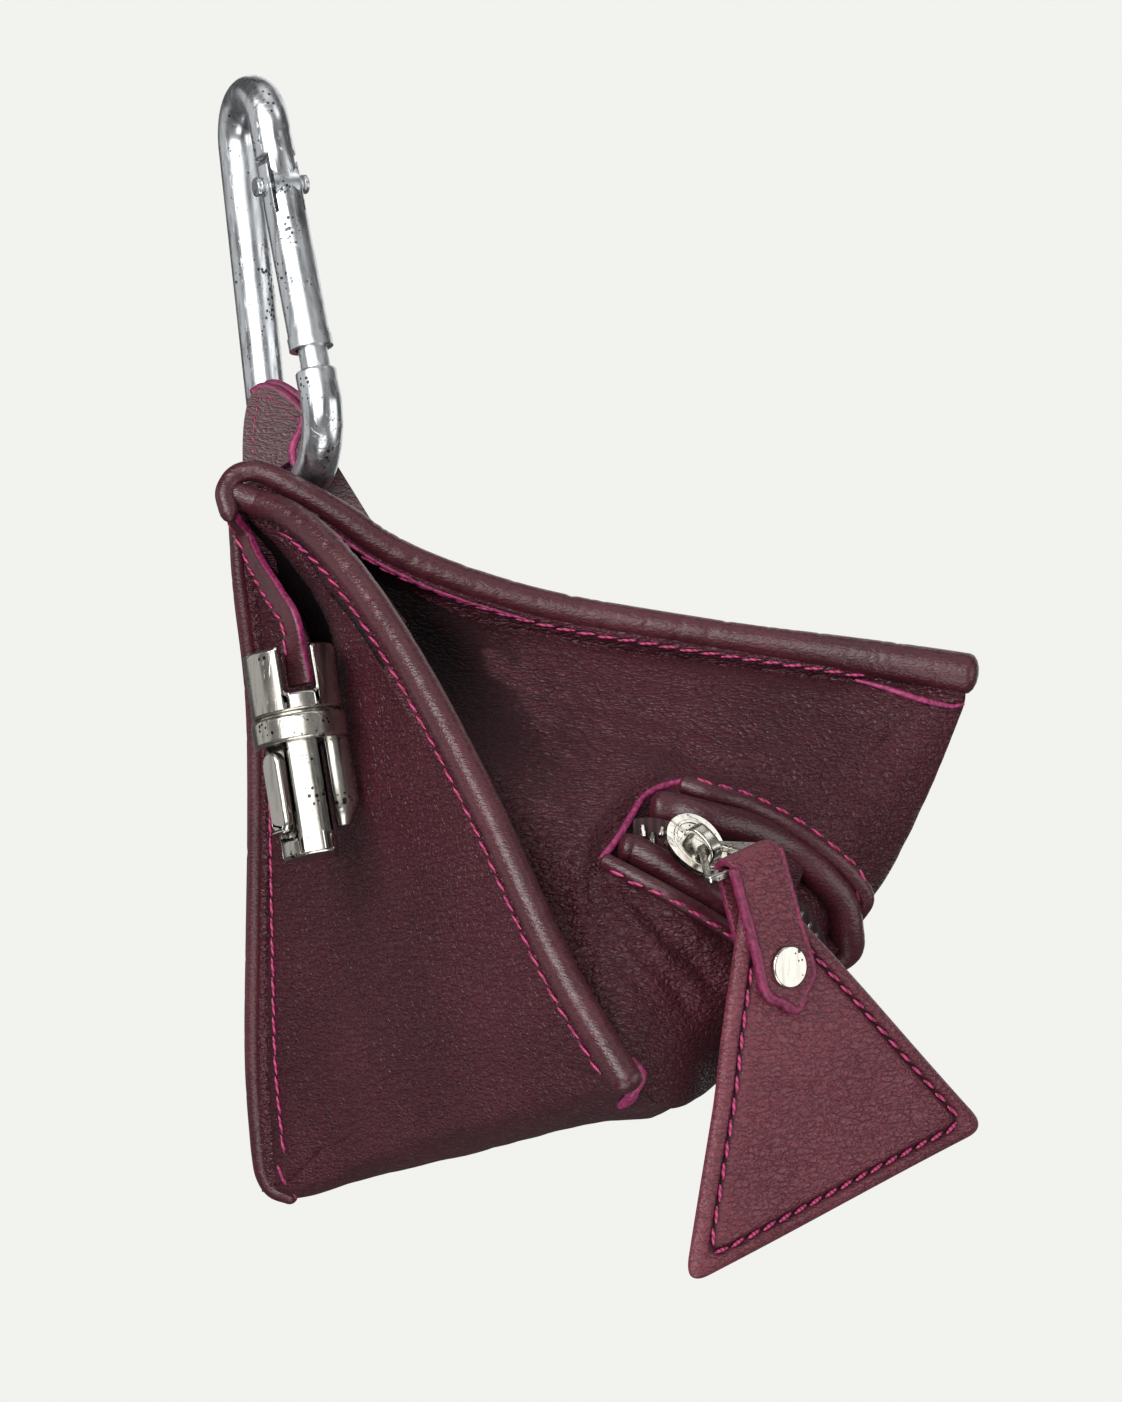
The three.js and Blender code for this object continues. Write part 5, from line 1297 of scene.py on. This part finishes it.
inner = fob["thick"] / 2 + fob["gap"]
strapMid = inner + fob["strapThick"] / 2
strapLine = [(-strapMid, -fob["frontLeg"] + d) for d in (0, 10, 20, fob["frontLeg"] - 0.5)]
strapLine += [(strapMid * math.cos(t), fob["fold"] * math.sin(t)) for t in np.linspace(math.pi, 0, 9)]
strapLine += [(strapMid, -d) for d in (1, 10, fob["backLeg"])]
strapPath = spline(strapLine, 180)
pathFar = lengths(strapPath)
pathWay = unit(np.gradient(strapPath, axis=0))
pathOut = np.stack([-pathWay[:, 1], pathWay[:, 0]], axis=1)


def placeStrap(u, v):
    length = v * pathFar[-1]
    half = fob["strapWide"] / 2 * np.clip(length / fob["tip"] * 0.94 + 0.06, 0, 1)
    over, out = (np.sign(a) * np.abs(a) ** 0.28 for a in (np.cos(2 * math.pi * u), np.sin(2 * math.pi * u)))
    flat = between(strapPath, pathFar, length)
    flat = flat + unit(between(pathOut, pathFar, length)) * (fob["strapThick"] / 2 * out)[:, None]
    return placed(fobFrame, zip(half * over, *flat.T))


strapBm = gridMesh(40, 150, placeStrap, lambda u, v: 1 if abs(math.cos(2 * math.pi * u)) > 0.93 else 0)
bmesh.ops.holes_fill(strapBm, edges=strapBm.edges, sides=200)
bmesh.ops.recalc_face_normals(strapBm, faces=strapBm.faces)
newPiece("fobStrap", strapBm, [fobLeather, magentaEdge], ("fob_strap",), "fob", 50)
# Painted edge of the strap, a bead round its two sides and its point
half, tipAt = fob["strapWide"] / 2, fob["tip"] - fob["frontLeg"]
bead = [(-half, 0.6), (-half, -8), (-half, -16), (-half, tipAt), (-half * 0.5, tipAt - fob["tip"] * 0.5),
        (0, -fob["frontLeg"])]
bead += [(-x, z) for x, z in bead[-2::-1]]
newRoll("fobStrapEdge", spline(placed(fobFrame, [(x, -strapMid - 0.1, z) for x, z in bead]), 160),
        lambda share: 1.05 - 0.35 * smooth(share, 0.45, 0.6), 12, 160, (0.3, 0.3), (60, 8, 0.12, 70.0), magentaEdge,
        body="fob")
rivetOut = inner + fob["strapThick"]
rivetM = inMetres(fobFrame) @ shift(0, 0, -fob["down"])
capOut = rivetOut + fob["capHigh"] / 2
metalPiece("fobRivet", joined(rodMesh(fob["stem"], 2 * rivetOut + 1, rivetM @ alongY, 32), *[
    ("UNION", rodMesh(fob["cap"] * share, fob["capHigh"], rivetM @ shift(0, side * capOut, 0) @ alongY, 64))
    for side, share in ((-1, 1.0), (1, fob["backCap"]))]), nickelPlate, ("fob_rivet",), 0.4, 4, "fob")
print("stage: fob")

# Stage: pale floor and soft studio light
floor = dict(size=5.0, at=(0.06, 0, -0.6), colour="#4a4a48", rough=0.9, glowColour="#f2f2ef", glow=0.95)
floorBm = bmesh.new()
bmesh.ops.create_grid(floorBm, x_segments=2, y_segments=2, size=floor["size"] / 2)
bmesh.ops.translate(floorBm, vec=floor["at"], verts=floorBm.verts)
floorObject = plain(floorBm, "floor")
floorMaterial, floorTree, floorShader, _ = newMaterial("palePaperFloor")
setInputs(floorTree, floorShader, {
    "Base Color": linear(floor["colour"]), "Roughness": floor["rough"],
    "Emission Color": linear(floor["glowColour"]), "Emission Strength": floor["glow"]})
floorObject.visible_diffuse = False
floorObject.visible_glossy = False
floorObject.data.materials.append(floorMaterial)

# Lights: place and size in metres, power in watts
lights = dict(
    key=((-0.4, -1.3, 0.22), 1.4, 19.0), top=((0.1, -0.1, 0.95), 0.6, 1.1), left=((-1.05, 0.2, 0.0), 1.0, 1.7),
    leftFront=((-0.42, -0.55, 0.3), 0.4, 3.4), right=((1.1, -0.4, -0.2), 0.9, 4.8),
    glint=((0.67, -0.38, 0.74), 0.36, 0.8), under=((0.06, -0.28, -0.47), 0.3, 0.8), back=((0.4, 1.2, 0.3), 1.4, 6.0))
aim = Vector((0.06, -0.03, -0.12))
for name, (at, size, power) in lights.items():
    data = bpy.data.lights.new(name, "AREA")
    data.size = size
    data.energy = power
    lamp = bpy.data.objects.new(name, data)
    lamp.location = at
    lamp.rotation_euler = (aim - Vector(at)).to_track_quat("-Z", "Y").to_euler()
    lamp.visible_camera = False
    scene.collection.objects.link(lamp)

# The backdrop shows pale to the camera; the light round the bag is bright in front and dim behind
backdrop = dict(seen="#f2f2ef", front=0.26, behind=0.1, colour=(1, 1, 0.99, 1))
world = bpy.data.worlds.new("softStudio")
scene.world = world
world.use_nodes = True
worldTree = world.node_tree
worldTree.nodes.clear()
path = addNode(worldTree, "ShaderNodeLightPath", {})
pale = addNode(worldTree, "ShaderNodeBackground", {"Color": linear(backdrop["seen"]), "Strength": 1.0})
around = addNode(worldTree, "ShaderNodeTexCoord", {}).outputs["Generated"]
ways = addNode(worldTree, "ShaderNodeSeparateXYZ", {0: around})
level = ranged(worldTree, ways.outputs["Y"], (0.15, -0.75), (backdrop["behind"], backdrop["front"]))
soft = addNode(worldTree, "ShaderNodeBackground", {"Color": backdrop["colour"], "Strength": level})
shown = addNode(worldTree, "ShaderNodeMixShader", {"Fac": path.outputs["Is Camera Ray"], 1: soft.outputs[0],
                                                   2: pale.outputs[0]})
addNode(worldTree, "ShaderNodeOutputWorld", {"Surface": shown.outputs[0]})
scene.view_settings.view_transform = "Standard"
print("stage: light")
